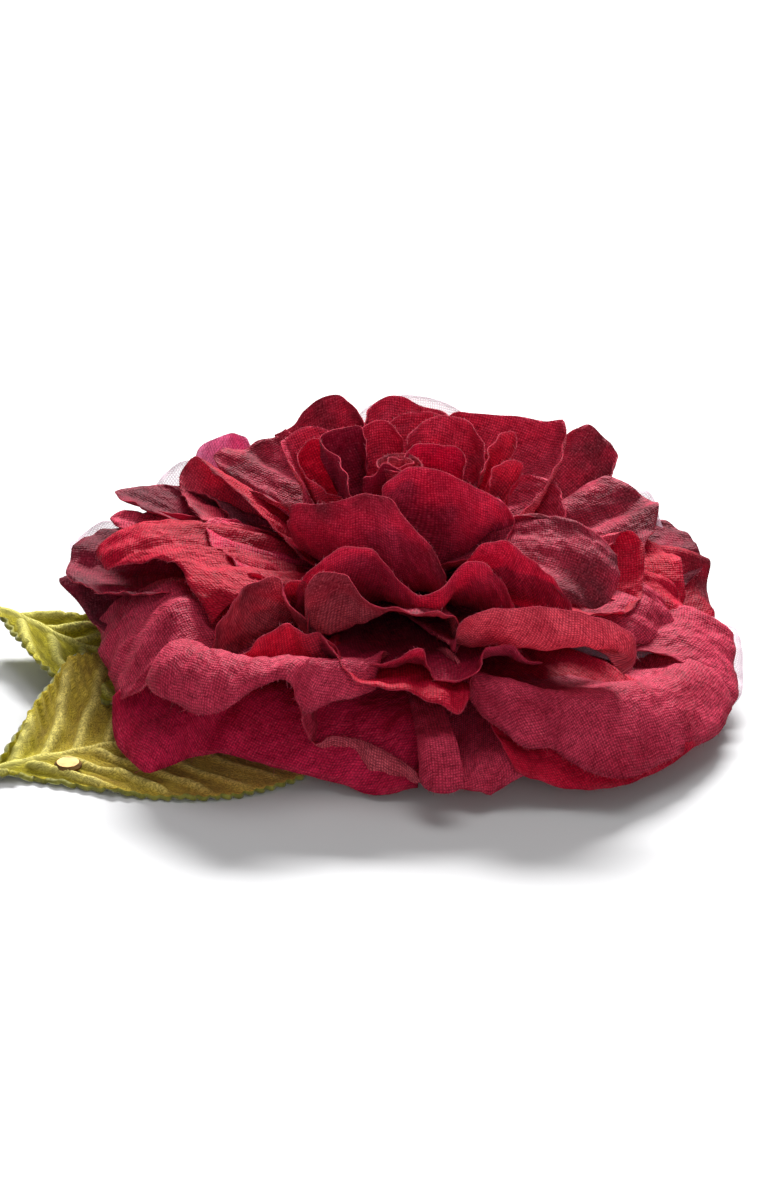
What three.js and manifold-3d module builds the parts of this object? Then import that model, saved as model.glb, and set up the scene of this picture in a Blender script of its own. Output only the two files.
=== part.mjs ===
// Flower hair clip: a silk peony with two velvet leaves on a sprung steel alligator clip.
// Millimetres, +Z up, +X to the flower's right, -Y to its front. The origin is on the
// flower's axis, in the plane of the clip's flat underside, which the flower rests on.
import * as THREE from "three";
import { mergeVertices } from "three/addons/utils/BufferGeometryUtils.js";
import Module from "manifold-3d";

const wasm = await Module();
wasm.setup();

// ---- Driving dimensions ----
const STEEL = 0.8; // sheet of the clip's arms
const CLIP_HEIGHT = 8; // from the flat underside to the top of the upper arm
const JAW_X = -32; // tip of the jaws
const FLAT_X = -14; // where the lower arm's flat underside ends and its jaw rises
const TAIL_X = 33; // end of both tails
const PIVOT = { x: 16, z: 4.2 }; // hinge axis, along Y
const UPPER_WIDTH = 9.2;
const LOWER_WIDTH = 7.2;
const EAR = 0.6; // sheet of the hinge ears
const PIN_RADIUS = 0.8;
const GAP = 0.3; // between neighbouring pieces
const FLOOR_GAP = 0.1; // below the sheets that lie on the surface

const FELT = { radius: 24, bottom: CLIP_HEIGHT + GAP, thickness: 1 };
const BUCKRAM = { radius: 15, bottom: 12, thickness: 0.6 };
const CORE = { bottom: 12.9, shoulder: 26, top: 31, radius: 7, tip: 4 };

const PETAL_THICKNESS = 0.7; // stiffened silk with its waxed edge
const PETAL_GRID = { across: 6, along: 4 };
const CORE_RADIUS = 7.5; // where the roots are glued
const CREST_BEND = 0.8; // how fully the cloth bows on each side of a fold

// ---- Petals ----
// Each petal is cut from stiffened silk and glued to the core by its root, and its free edge is
// its rim. root: height on the core, and width there. rise: slope of the cloth where it leaves
// the core, degrees. rim: points of the free edge, [turn, radius, height], with turn in degrees
// round the flower's axis, anticlockwise from +X. lean: slope of the cloth as it meets the rim,
// 90 for upright, 0 for flat and negative where the rim rolls over and down. crest: where the
// cloth is folded over on its way, [share of the way to the rim, height], with arch the slope at
// which it reaches the fold. A list holds values at even places from one side to the other.
const PETALS = [
  // outer tier, which reaches the surface that the flower lies on
  {
    name: "outer_front_left",
    root: [12.5, 24], rise: 10, lean: -40, crest: [[0.72, 13], [0.7, 14], [0.7, 13], [0.75, 12]],
    rim: [
      [211, 60, 10], [214, 62, 7], [218, 64, 5], [223, 65, 4], [228, 66, 4], [229, 62, 4],
      [231, 57, 5], [236, 55, 6], [240, 53, 5], [247, 52, 4], [257, 50, 2], [266, 52, 1],
      [271, 52, 2], [274, 51, 2],
    ],
  },
  {
    name: "outer_front",
    root: [13, 18], rise: 0, lean: [80, 90, 100, 110, 100, -40, -60, -60, -50],
    crest: [
      [0.97, 20], [0.95, 14], [0.92, 4], [1.05, 3.5], [1.04, 3], [0.95, 4.5], [0.93, 6],
      [0.9, 9], [0.85, 11],
    ],
    rim: [
      [247, 48, 20], [250, 51, 17], [251, 50, 12], [252, 49, 9], [255, 47, 9], [260, 46, 9],
      [266, 47, 8], [272, 50, 6], [275, 55, 5], [278, 56, 4], [281, 56, 4], [284, 58, 4],
      [286, 58, 3], [288, 58, 4], [294, 58, 6], [301, 57, 7],
    ],
  },
  {
    name: "outer_front_right",
    root: [15, 20], rise: -12, lean: -60, arch: 30,
    crest: [[0.8, 21], [0.8, 19], [0.8, 18], [0.82, 14], [0.85, 12]],
    rim: [
      [287, 41, 19], [287, 45, 15], [291, 52, 12], [294, 56, 10], [298, 58, 10],
      [299, 60, 9], [302, 65, 7], [306, 68, 6], [312, 68, 6], [320, 68, 6], [328, 68, 5],
      [335, 67, 6], [340, 65, 7], [346, 62, 10],
    ],
  },
  {
    name: "outer_under_right",
    root: [12.5, 16], rise: 0, lean: -40,
    rim: [
      [291, 58, 7], [295, 60, 5], [299, 63, 4], [304, 66, 4], [308, 67, 4], [315, 68, 5],
      [323, 68, 6],
    ],
  },
  {
    name: "outer_right",
    root: [13.5, 18], rise: 5, lean: -50, crest: [[0.8, 14], [0.78, 16], [0.8, 15]],
    rim: [
      [337, 66, 4], [342, 66, 6], [348, 64, 8], [354, 63, 11], [358, 59, 10], [363, 56, 7],
      [369, 52, 4],
    ],
  },
  {
    name: "outer_back_right",
    root: [13, 20], rise: 8, lean: -30,
    rim: [
      [358, 60, 8], [364, 60, 10], [370, 60, 12], [374, 62, 16], [379, 61, 15],
      [386, 60, 14],
    ],
  },
  {
    name: "outer_back",
    root: [13.5, 20], rise: 8, lean: -35,
    rim: [
      [48, 55, 15], [58, 60, 10], [70, 61, 8], [84, 60, 12], [98, 61, 9], [108, 56, 14],
    ],
  },
  {
    name: "outer_back_left",
    root: [13, 20], rise: 8, lean: -35,
    rim: [
      [102, 54, 15], [112, 60, 10], [124, 62, 7], [136, 60, 11], [148, 60, 8], [158, 55, 13],
    ],
  },
  {
    name: "outer_left",
    root: [13.5, 18], rise: 8, lean: -20,
    rim: [
      [159, 60, 9], [166, 62, 12], [171, 64, 15], [175, 64, 16], [179, 60, 14],
      [186, 57, 13], [195, 54, 14],
    ],
  },
  {
    name: "outer_side_left",
    root: [15, 20], rise: 20, lean: -60, arch: 20,
    crest: [[0.72, 20], [0.7, 24], [0.72, 25], [0.75, 20], [0.7, 14]],
    rim: [
      [184, 56, 12], [192, 56, 12], [199, 57, 11], [208, 58, 10], [213, 59, 10],
      [217, 58, 13], [221, 58, 16], [229, 56, 21],
    ],
  },
  // second tier
  {
    name: "second_front_left",
    root: [15.5, 20], rise: -15, lean: -80, arch: 40,
    crest: [[0.84, 22], [0.82, 24], [0.83, 25], [0.85, 24], [0.85, 23]],
    rim: [
      [219, 58, 16], [224, 60, 16], [230, 60, 16], [235, 61, 16], [240, 60, 18],
      [243, 58, 21], [245, 56, 22], [248, 54, 23], [250, 54, 22], [251, 53, 18],
      [252, 52, 16], [257, 50, 18], [261, 48, 18], [265, 44, 18],
    ],
  },
  {
    name: "second_front",
    root: [14.5, 18], rise: 0, lean: [40, 0, -30, -40, -30, 10],
    crest: [[0.8, 20], [0.85, 19.5], [0.88, 20], [0.88, 18], [0.85, 17]],
    rim: [
      [249, 40, 25], [256, 44, 24], [261, 48, 22], [267, 49, 21], [273, 50, 20],
      [278, 50, 18], [282, 51, 16], [284, 50, 17], [286, 46, 18], [288, 42, 20],
    ],
  },
  {
    name: "second_front_right",
    root: [19, 20], rise: 0, lean: 100, crest: [[0.9, 22], [0.88, 22], [0.9, 22]],
    rim: [
      [286, 38, 22], [286, 38, 26], [291, 40, 30], [299, 44, 31], [306, 50, 32],
      [312, 54, 30], [315, 56, 28], [316, 58, 26], [316, 58, 22], [314, 58, 20],
    ],
  },
  {
    name: "second_right",
    root: [16.5, 16], rise: 20, lean: -30,
    rim: [
      [345, 46, 18], [349, 52, 15], [351, 54, 14], [356, 54, 15], [359, 53, 16],
      [362, 51, 18], [366, 48, 16],
    ],
  },
  {
    name: "second_side_right",
    root: [17, 16], rise: 20, lean: 0,
    rim: [
      [355, 51, 14], [360, 54, 15], [364, 54, 18], [369, 54, 20], [373, 52, 20],
      [379, 50, 20],
    ],
  },
  {
    name: "second_back_right",
    root: [17, 18], rise: 15, lean: 20,
    rim: [
      [6, 40, 22], [12, 48, 22], [18, 52, 24], [22, 54, 26], [27, 54, 25], [31, 52, 27],
      [35, 50, 28], [38, 48, 26], [41, 46, 24],
    ],
  },
  {
    name: "second_back_corner",
    root: [17, 16], rise: 15, lean: 55,
    rim: [
      [35, 48, 26], [38, 54, 28], [40, 56, 29], [42, 57, 30], [44, 56, 32], [47, 55, 34],
      [49, 53, 33], [50, 50, 32],
    ],
  },
  {
    name: "second_back_mid_right",
    root: [18, 18], rise: 30, lean: 75,
    rim: [
      [11, 22, 29], [21, 28, 31], [29, 34, 34], [37, 40, 36], [43, 44, 39], [48, 43, 38],
      [55, 42, 38], [61, 40, 38], [68, 39, 38], [73, 38, 38], [74, 36, 36],
    ],
  },
  {
    name: "second_back_mid_left",
    root: [18, 16], rise: 25, lean: 75,
    rim: [
      [70, 35, 37], [77, 38, 38], [83, 40, 38], [89, 40, 40], [94, 39, 40], [98, 38, 38],
      [101, 34, 36],
    ],
  },
  {
    name: "second_back_left",
    root: [18, 16], rise: 25, lean: 75,
    rim: [
      [101, 30, 36], [101, 34, 38], [104, 37, 40], [107, 40, 41], [112, 41, 40],
      [116, 41, 38], [120, 40, 36], [126, 40, 35],
    ],
  },
  {
    name: "second_corner_left",
    root: [17, 16], rise: 15, lean: 55,
    rim: [
      [132, 39, 30], [130, 44, 32], [131, 46, 34], [132, 48, 34], [135, 50, 33],
      [138, 51, 32], [142, 50, 30],
    ],
  },
  {
    name: "second_side_left",
    root: [17.5, 16], rise: 20, lean: 15,
    rim: [
      [162, 32, 26], [155, 38, 28], [152, 43, 28], [151, 48, 28], [152, 52, 28],
      [155, 55, 28], [158, 58, 28], [161, 56, 28], [165, 50, 28],
    ],
  },
  {
    name: "second_left",
    root: [17.5, 20], rise: 25, lean: -45, crest: [[0.8, 27], [0.8, 28], [0.8, 28], [0.8, 27]],
    rim: [
      [168, 40, 26], [168, 44, 26], [169, 48, 26], [172, 52, 26], [176, 55, 25],
      [180, 56, 24], [183, 55, 24], [185, 54, 23], [187, 51, 25], [190, 48, 26],
      [194, 44, 28], [199, 42, 28], [206, 42, 26], [212, 42, 25], [217, 42, 22],
    ],
  },
  {
    name: "second_dark_left",
    root: [16, 18], rise: 15, lean: 10,
    rim: [
      [160, 52, 22], [163, 58, 22], [167, 60, 22], [171, 62, 22], [174, 62, 20],
      [179, 62, 20], [183, 60, 20], [188, 56, 20], [193, 52, 22], [200, 48, 24],
    ],
  },
  // third tier
  {
    name: "third_front_left",
    root: [17.5, 20], rise: -20, lean: 85,
    rim: [
      [226, 47, 19], [225, 46, 22], [225, 44, 26], [225, 42, 28], [224, 38, 30],
      [224, 34, 30], [226, 32, 30], [230, 32, 28], [235, 33, 26], [241, 34, 24],
    ],
  },
  {
    name: "third_low_left",
    root: [15.5, 18], rise: -10, lean: 60, crest: [[0.85, 17]],
    rim: [
      [232, 47, 21], [235, 46, 23], [237, 46, 25], [240, 44, 27], [243, 42, 28],
      [247, 42, 26], [250, 40, 26], [253, 40, 24], [255, 42, 22],
    ],
  },
  {
    name: "third_front",
    root: [19, 22], rise: 5, lean: [95, 95, 95, 80, 30, 10, 10, 60, 90],
    crest: [[0.92, 22], [0.92, 22], [0.92, 21], [0.9, 24], [0.9, 27], [0.9, 27], [0.92, 26], [0.95, 21]],
    rim: [
      [243, 34, 22], [241, 34, 28], [242, 34, 32], [245, 33, 34], [250, 32, 34],
      [254, 32, 34], [257, 33, 32], [262, 34, 30], [270, 34, 29], [276, 35, 28],
      [280, 36, 29], [284, 35, 28], [288, 34, 26], [288, 35, 22], [287, 36, 20],
    ],
  },
  {
    name: "third_low_front",
    root: [17.5, 22], rise: 0, lean: 65, crest: [[0.85, 20]],
    rim: [
      [251, 41, 26], [256, 44, 24], [260, 44, 22], [265, 43, 22], [270, 43, 23],
      [273, 43, 25], [276, 44, 26], [277, 44, 23], [278, 44, 20], [281, 46, 20],
      [285, 46, 20], [288, 46, 22], [290, 45, 25], [294, 44, 25], [298, 44, 24],
      [300, 45, 22], [304, 46, 20],
    ],
  },
  {
    name: "third_wavy_front",
    root: [20, 22], rise: -15, lean: 85,
    rim: [
      [227, 27, 23], [233, 28, 30], [241, 26, 34], [247, 25, 36], [253, 24, 36],
      [258, 24, 36], [264, 25, 34], [270, 26, 31], [278, 28, 29], [284, 29, 30],
      [290, 28, 31], [295, 28, 34], [299, 28, 34], [302, 30, 34], [305, 30, 32],
      [307, 32, 30], [308, 34, 26],
    ],
  },
  {
    name: "third_front_right",
    root: [21.5, 16], rise: 0, lean: 80,
    rim: [
      [305, 20, 28], [305, 23, 32], [307, 25, 35], [312, 27, 36], [315, 28, 36],
      [317, 31, 34], [319, 34, 32], [321, 36, 30], [322, 39, 26], [321, 42, 24],
    ],
  },
  {
    name: "third_right_curl",
    root: [22, 14], rise: 45, lean: -45,
    rim: [
      [321, 38, 27], [324, 41, 25], [328, 43, 24], [333, 44, 25], [337, 44, 28],
      [341, 42, 30], [344, 40, 32], [346, 36, 32], [345, 31, 32],
    ],
  },
  {
    name: "third_right",
    root: [20.5, 14], rise: 25, lean: 20,
    rim: [
      [331, 44, 22], [338, 45, 20], [345, 46, 20], [351, 46, 21], [356, 46, 24],
      [360, 46, 26], [363, 44, 28], [363, 42, 28], [360, 40, 26], [357, 38, 26],
    ],
  },
  {
    name: "third_back_right",
    root: [21, 16], rise: 20, lean: 60,
    rim: [
      [8, 30, 26], [16, 33, 29], [30, 35, 31], [42, 33, 31], [50, 29, 29],
    ],
  },
  {
    name: "third_back",
    root: [21, 16], rise: 25, lean: 75,
    rim: [
      [58, 27, 34], [66, 29, 39], [78, 30, 41], [90, 29, 40], [100, 26, 35],
    ],
  },
  {
    name: "third_back_left",
    root: [22, 18], rise: 30, lean: 15,
    rim: [
      [125, 37, 37], [128, 39, 35], [131, 41, 34], [135, 42, 33], [139, 43, 34],
      [143, 44, 33], [145, 42, 32], [147, 38, 30], [148, 34, 30], [150, 30, 30],
      [153, 26, 30], [157, 20, 31],
    ],
  },
  {
    name: "third_left",
    root: [20, 14], rise: 20, lean: 30,
    rim: [
      [162, 32, 27], [167, 36, 28], [175, 36, 28], [187, 34, 28], [198, 32, 28],
      [207, 31, 26],
    ],
  },
  // fourth tier, round the bud
  {
    name: "fourth_front_left",
    root: [21, 24], rise: -10, lean: 92,
    rim: [
      [180, 20, 30], [192, 20, 36], [208, 17, 38], [226, 16, 40], [243, 14, 42],
      [256, 14, 42], [267, 15, 42], [273, 16, 40], [280, 18, 37], [287, 19, 35],
      [291, 20, 32], [293, 22, 29],
    ],
  },
  {
    name: "fourth_front_right",
    root: [22, 20], rise: -5, lean: 95,
    rim: [
      [254, 10, 40], [256, 8, 42], [288, 6, 44], [319, 8, 44], [331, 10, 43], [337, 12, 42],
      [341, 15, 40], [347, 18, 38], [351, 20, 36], [346, 22, 33], [336, 22, 31],
    ],
  },
  {
    name: "fourth_left",
    root: [24, 14], rise: 15, lean: 70,
    rim: [
      [120, 26, 40], [125, 27, 41], [131, 28, 41], [138, 28, 40], [144, 27, 40],
      [149, 24, 38], [159, 20, 38], [173, 17, 34],
    ],
  },
  {
    name: "fourth_back_right",
    root: [25, 14], rise: 20, lean: 85,
    rim: [
      [14, 16, 38], [24, 18, 40], [32, 19, 42], [41, 20, 44], [50, 20, 45], [62, 17, 46],
      [73, 14, 45], [79, 10, 44], [79, 8, 43],
    ],
  },
  {
    name: "fourth_right",
    root: [24.5, 12], rise: 20, lean: 75,
    rim: [
      [14, 16, 39], [30, 20, 41], [38, 24, 42], [37, 28, 42], [31, 26, 40], [24, 22, 36],
    ],
  },
  // bud
  {
    name: "bud_left",
    root: [28, 8], rise: 40, lean: 85,
    rim: [
      [129, 9, 41], [119, 14, 45], [128, 15, 45], [138, 16, 45], [148, 17, 44],
      [164, 11, 42], [205, 10, 40], [219, 10, 38],
    ],
  },
  {
    name: "bud_right",
    root: [28, 9], rise: 30, lean: 85,
    rim: [
      [0, 12, 40], [14, 13, 42], [23, 12, 44], [34, 10, 44], [47, 8, 44], [61, 6, 44],
      [57, 2, 42],
    ],
  },
  // sheer organza petals, which show past the silk ones
  {
    name: "organza_back",
    root: [15.5, 18], rise: 15, lean: 70,
    rim: [
      [67, 37, 36], [73, 40, 38], [81, 42, 39], [89, 43, 39], [95, 42, 38], [100, 40, 37],
      [103, 36, 35],
    ],
  },
  {
    name: "organza_left",
    root: [15, 16], rise: 12, lean: 40,
    rim: [
      [144, 38, 26], [143, 44, 28], [142, 48, 30], [143, 52, 30], [146, 54, 28],
      [150, 54, 26], [155, 52, 24],
    ],
  },
  {
    name: "organza_right",
    root: [12.5, 18], rise: 5, lean: -30,
    rim: [
      [340, 64, 2], [344, 66, 4], [351, 65, 7], [356, 64, 10], [361, 62, 9], [366, 58, 8],
    ],
  },
];

// ---- Leaves ----
// Each leaf runs along a cubic midrib, [x, y], from its base under the flower to its tip. halves:
// its widest reach in front of the midrib and behind it. droop: its height at distances from the
// flower's axis, [radius, height]. lift: how much higher its front and back edges are than its
// midrib, away from its tip. The thickness is that of velvet, lining and glue.
const LEAF_THICKNESS = 1.1;
const LEAF_GRID = { across: 4, along: 12 };
const LEAF_TIP = 1.5; // half width left at the base and the tip
const LEAF_TAPER = 0.45; // share of the length over which the lift dies out towards the tip
const LEAF_FREE = { inner: 50, outer: 62, held: 0.25 }; // the edges lift freely past these radii
const LEAF_OUTLINE = { from: 0.06, to: 0.99, skew: 0.85, fullness: 0.85, point: 0.8 };
const LEAVES = [
  {
    name: "lower_leaf",
    midrib: [[-13, -14], [-30, -24], [-51, -32], [-73, -43]],
    halves: [26, 28],
    droop: [[20, 9.9], [28, 8], [42, 0.8], [90, 0.8]],
    lift: [0, 11],
  },
  {
    name: "upper_leaf",
    midrib: [[-13, 1], [-34, -5], [-56, -3], [-76, 11]],
    halves: [21, 26],
    droop: [[20, 10.4], [34, 9.5], [56, 3.5], [78, 7.5]],
    lift: [0, 0.8],
  },
];
const STEM_RADIUS = 0.7;
const STEMS = [
  { name: "lower_leaf_stem", route: [[-11.9, -13.4, 10.4], [-3, -9, 10.6], [7, -4, 10.7]] },
  { name: "upper_leaf_stem", route: [[-12, 1.2, 10.7], [-4, 1.8, 10.7], [7, 4, 10.7]] },
];
// A plain round stud through the lower leaf: its place across and along the leaf.
const STUD = { across: -0.5, along: 0.82, radius: 2.5, thickness: 0.9, above: 0.5, wall: 0.4, crown: 2 };
const ROLL = { bottom: 31.6, top: 43.5, radius: 3.6 };

// ---- Materials ----
const material = (color, roughness, metalness = 0) =>
  new THREE.MeshStandardMaterial({ color, roughness, metalness });
const STEEL_FINISH = material(0xb9babd, 0.3, 1);
const GOLD_FINISH = material(0xa8894f, 0.35, 1);
const SILK = material(0x8c1734, 0.6);
const ORGANZA = material(0xb98ba0, 0.5);
const VELVET = material(0xb2a747, 0.9);
const FELT_FINISH = material(0x55121f, 0.95);
const NET_FINISH = material(0xd8cfc4, 0.9);
const WIRE_FINISH = material(0x5f6b2c, 0.8);

// ---- Solids ----
const { lerp, smoothstep } = THREE.MathUtils;
const flower = new THREE.Group();
const tidied = (geometry) => {
  geometry.deleteAttribute("normal");
  geometry.deleteAttribute("uv");
  return mergeVertices(geometry, 1e-3);
};
const toManifold = (geometry) => {
  const merged = tidied(geometry);
  return new wasm.Manifold(
    new wasm.Mesh({
      numProp: 3,
      vertProperties: merged.attributes.position.array,
      triVerts: new Uint32Array(merged.index.array),
    }),
  );
};
const toGeometry = (body) => {
  const mesh = body.getMesh();
  const geometry = new THREE.BufferGeometry();
  geometry.setAttribute("position", new THREE.BufferAttribute(mesh.vertProperties, 3));
  geometry.setIndex(new THREE.BufferAttribute(mesh.triVerts, 1));
  geometry.computeVertexNormals();
  return geometry;
};
const add = (name, geometry, finish) => {
  const mesh = new THREE.Mesh(geometry, finish);
  mesh.name = name;
  flower.add(mesh);
  return mesh;
};
const union = (...geometries) =>
  toGeometry(geometries.map(toManifold).reduce((a, b) => a.add(b)));

// A disc or other round solid about +Z, from a profile of [radius, height] points that starts
// and ends on the axis, upwards.
const turned = (profile, sides = 32) => {
  const points = profile.map(([radius, height]) => new THREE.Vector2(radius, height));
  return new THREE.LatheGeometry(points, sides).rotateX(Math.PI / 2);
};
// A plate in the X-Z plane, centred on y, cut from an outline in X and Z.
const plate = (outline, y, thickness) =>
  new THREE.ExtrudeGeometry(outline, { depth: thickness, bevelEnabled: false, curveSegments: 8 })
    .rotateX(Math.PI / 2)
    .translate(0, y + thickness / 2, 0);

// ---- Clip ----
// One hinge ear: it runs from its arm to a round end about the pivot, with a hole for the pin.
const earOutline = (armHeight) => {
  const reach = 2;
  const foot = 3.4;
  const side = Math.sign(armHeight - PIVOT.z);
  const outline = new THREE.Shape();
  outline.absarc(PIVOT.x, PIVOT.z, reach, Math.PI, 0, side < 0);
  outline.lineTo(PIVOT.x + foot, armHeight);
  outline.lineTo(PIVOT.x - foot, armHeight);
  const hole = new THREE.Path();
  hole.absarc(PIVOT.x, PIVOT.z, PIN_RADIUS + GAP, 0, 2 * Math.PI, side > 0);
  outline.holes.push(hole);
  return outline;
};
const ears = (armHeight, width) =>
  [-1, 1].map((side) => plate(earOutline(armHeight), (side * (width - EAR)) / 2, EAR));

const upperStrip = new THREE.Shape();
upperStrip.moveTo(JAW_X, CLIP_HEIGHT - STEEL);
upperStrip.lineTo(TAIL_X, CLIP_HEIGHT - STEEL);
upperStrip.lineTo(TAIL_X, CLIP_HEIGHT);
upperStrip.lineTo(JAW_X, CLIP_HEIGHT);
upperStrip.closePath();

const jawTop = CLIP_HEIGHT - STEEL - GAP;
const lowerStrip = new THREE.Shape();
lowerStrip.moveTo(TAIL_X, 0);
lowerStrip.lineTo(TAIL_X, STEEL);
lowerStrip.lineTo(FLAT_X, STEEL);
lowerStrip.quadraticCurveTo(JAW_X + 6, STEEL + 0.3, JAW_X + STEEL + 0.2, jawTop);
lowerStrip.lineTo(JAW_X, jawTop);
lowerStrip.quadraticCurveTo(JAW_X + 5, 0.2, FLAT_X, 0);
lowerStrip.closePath();

// Teeth: the jaw's tip is cut by a row of upright wedges.
const TOOTH_PITCH = 1.8;
const toothCut = (y) => {
  const wedge = new THREE.Shape();
  wedge.moveTo(JAW_X - 1, -TOOTH_PITCH / 3);
  wedge.lineTo(JAW_X + 1.6, 0);
  wedge.lineTo(JAW_X - 1, TOOTH_PITCH / 3);
  wedge.closePath();
  const height = 4;
  return new THREE.ExtrudeGeometry(wedge, { depth: height, bevelEnabled: false })
    .translate(0, y, jawTop - height / 2);
};
const teethCuts = [-1.5, -0.5, 0.5, 1.5].map((step) => toManifold(toothCut(step * TOOTH_PITCH)));

const lowerArm = [plate(lowerStrip, 0, LOWER_WIDTH), ...ears(STEEL / 2, LOWER_WIDTH)]
  .map(toManifold)
  .reduce((a, b) => a.add(b));
const toothedArm = teethCuts.reduce((arm, cut) => arm.subtract(cut), lowerArm);

add(
  "clip_upper_arm",
  union(plate(upperStrip, 0, UPPER_WIDTH), ...ears(CLIP_HEIGHT - STEEL / 2, UPPER_WIDTH)),
  STEEL_FINISH,
);
add("clip_lower_arm", toGeometry(toothedArm), STEEL_FINISH);

// Hinge pin, with a head outside each ear of the upper arm.
const HEAD = { radius: 1.4, thickness: 0.5 };
const headIn = UPPER_WIDTH / 2 + GAP;
const headOut = headIn + HEAD.thickness;
const pinProfile = [
  [0, -headOut],
  [HEAD.radius, -headOut],
  [HEAD.radius, -headIn],
  [PIN_RADIUS, -headIn],
  [PIN_RADIUS, headIn],
  [HEAD.radius, headIn],
  [HEAD.radius, headOut],
  [0, headOut],
].map(([radius, y]) => new THREE.Vector2(radius, y));
add(
  "clip_pin",
  tidied(new THREE.LatheGeometry(pinProfile, 20).translate(PIVOT.x, 0, PIVOT.z)),
  STEEL_FINISH,
);

// Torsion spring: its coil about the pin, and one leg along each tail.
const COIL = { inner: PIN_RADIUS + GAP, outer: 2.6, half: 2.6 };
const LEG = { length: 11, section: 0.7 };
const coilProfile = [
  [COIL.inner, -COIL.half],
  [COIL.outer, -COIL.half],
  [COIL.outer, COIL.half],
  [COIL.inner, COIL.half],
  [COIL.inner, -COIL.half],
].map(([radius, y]) => new THREE.Vector2(radius, y));
const coil = new THREE.LatheGeometry(coilProfile, 20).translate(PIVOT.x, 0, PIVOT.z);
const leg = (y, z) =>
  new THREE.BoxGeometry(LEG.length, LEG.section, LEG.section)
    .translate(PIVOT.x + LEG.length / 2, y, z);
const legRise = COIL.outer - 0.05;
add(
  "clip_spring",
  union(
    coil,
    leg(COIL.half - LEG.section / 2, PIVOT.z + legRise - LEG.section / 2),
    leg(-COIL.half + LEG.section / 2, PIVOT.z - legRise + LEG.section / 2),
  ),
  STEEL_FINISH,
);

// ---- Base of the flower ----
const disc = ({ radius, bottom, thickness }) =>
  turned([[0, bottom], [radius, bottom], [radius, bottom + thickness], [0, bottom + thickness]]);
add("felt_backing", tidied(disc(FELT)), FELT_FINISH);
add("buckram_disc", tidied(disc(BUCKRAM)), NET_FINISH);
const coreProfile = [
  [0, CORE.bottom],
  [CORE.radius, CORE.bottom],
  [CORE.radius, CORE.shoulder],
  [CORE.tip, CORE.top],
  [0, CORE.top],
];
add("petal_core", tidied(turned(coreProfile, 16)), NET_FINISH);

// ---- Sheets ----
// A closed sheet of even thickness over a grid of points, grid[i][j] with i across and j along.
const sheet = (grid, thickness) => {
  const across = grid.length;
  const along = grid[0].length;
  const at = (i, j) => grid[Math.min(Math.max(i, 0), across - 1)][Math.min(Math.max(j, 0), along - 1)];
  const positions = [];
  for (const side of [0.5, -0.5])
    for (let i = 0; i < across; i++)
      for (let j = 0; j < along; j++) {
        const over = at(i + 1, j).clone().sub(at(i - 1, j));
        const out = at(i, j + 1).clone().sub(at(i, j - 1));
        const normal = over.cross(out).normalize();
        positions.push(...grid[i][j].clone().addScaledVector(normal, side * thickness).toArray());
      }
  const index = [];
  const top = (i, j) => i * along + j;
  const bottom = (i, j) => across * along + i * along + j;
  const quad = (a, b, c, d) => index.push(a, b, c, a, c, d);
  for (let i = 0; i + 1 < across; i++)
    for (let j = 0; j + 1 < along; j++) {
      quad(top(i, j), top(i + 1, j), top(i + 1, j + 1), top(i, j + 1));
      quad(bottom(i, j), bottom(i, j + 1), bottom(i + 1, j + 1), bottom(i + 1, j));
    }
  for (let i = 0; i + 1 < across; i++) {
    quad(bottom(i, 0), bottom(i + 1, 0), top(i + 1, 0), top(i, 0));
    quad(bottom(i + 1, along - 1), bottom(i, along - 1), top(i, along - 1), top(i + 1, along - 1));
  }
  for (let j = 0; j + 1 < along; j++) {
    quad(bottom(0, j + 1), bottom(0, j), top(0, j), top(0, j + 1));
    quad(bottom(across - 1, j), bottom(across - 1, j + 1), top(across - 1, j + 1), top(across - 1, j));
  }
  const geometry = new THREE.BufferGeometry();
  geometry.setAttribute("position", new THREE.Float32BufferAttribute(positions, 3));
  geometry.setIndex(index);
  return geometry;
};

// ---- Leaves ----
const leafOutline = (t) => {
  const { from, to, skew, fullness, point } = LEAF_OUTLINE;
  return Math.sin(Math.PI * lerp(from, to, t) ** skew) ** (fullness + point * t ** 4);
};
const toVectors = (points) => points.map((point) => new THREE.Vector3(...point));
const leafHeight = (leaf, s, t, radius) => {
  const last = leaf.droop.length - 1;
  const step = Math.max(1, leaf.droop.findIndex(([edge]) => radius <= edge));
  const [[innerRadius, innerHeight], [outerRadius, outerHeight]] = leaf.droop.slice(step - 1, step + 1);
  const share = radius > leaf.droop[last][0] ? 1 : smoothstep(radius, innerRadius, outerRadius);
  const freed = (radius - LEAF_FREE.inner) / (LEAF_FREE.outer - LEAF_FREE.inner);
  const free = THREE.MathUtils.clamp(freed, LEAF_FREE.held, 1);
  const toTip = Math.min(1, (1 - t) / LEAF_TAPER);
  return lerp(innerHeight, outerHeight, share) + free * toTip * leaf.lift[s > 0 ? 1 : 0] * s * s;
};
const leafPoint = (leaf, s, t) => {
  const midrib = new THREE.CubicBezierCurve(...leaf.midrib.map((place) => new THREE.Vector2(...place)));
  const along = midrib.getTangent(t);
  const half = LEAF_TIP + (leaf.halves[s > 0 ? 1 : 0] - LEAF_TIP) * leafOutline(t);
  const place = midrib.getPoint(t).add(new THREE.Vector2(along.y, -along.x).multiplyScalar(s * half));
  const height = Math.max(leafHeight(leaf, s, t, place.length()), LEAF_THICKNESS / 2 + FLOOR_GAP);
  return new THREE.Vector3(place.x, place.y, height);
};
const leafGrid = (leaf) => {
  const grid = [];
  for (let i = 0; i <= LEAF_GRID.across; i++) {
    const column = [];
    for (let j = 0; j <= LEAF_GRID.along; j++)
      column.push(leafPoint(leaf, (2 * i) / LEAF_GRID.across - 1, j / LEAF_GRID.along));
    grid.push(column);
  }
  return grid;
};

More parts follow.
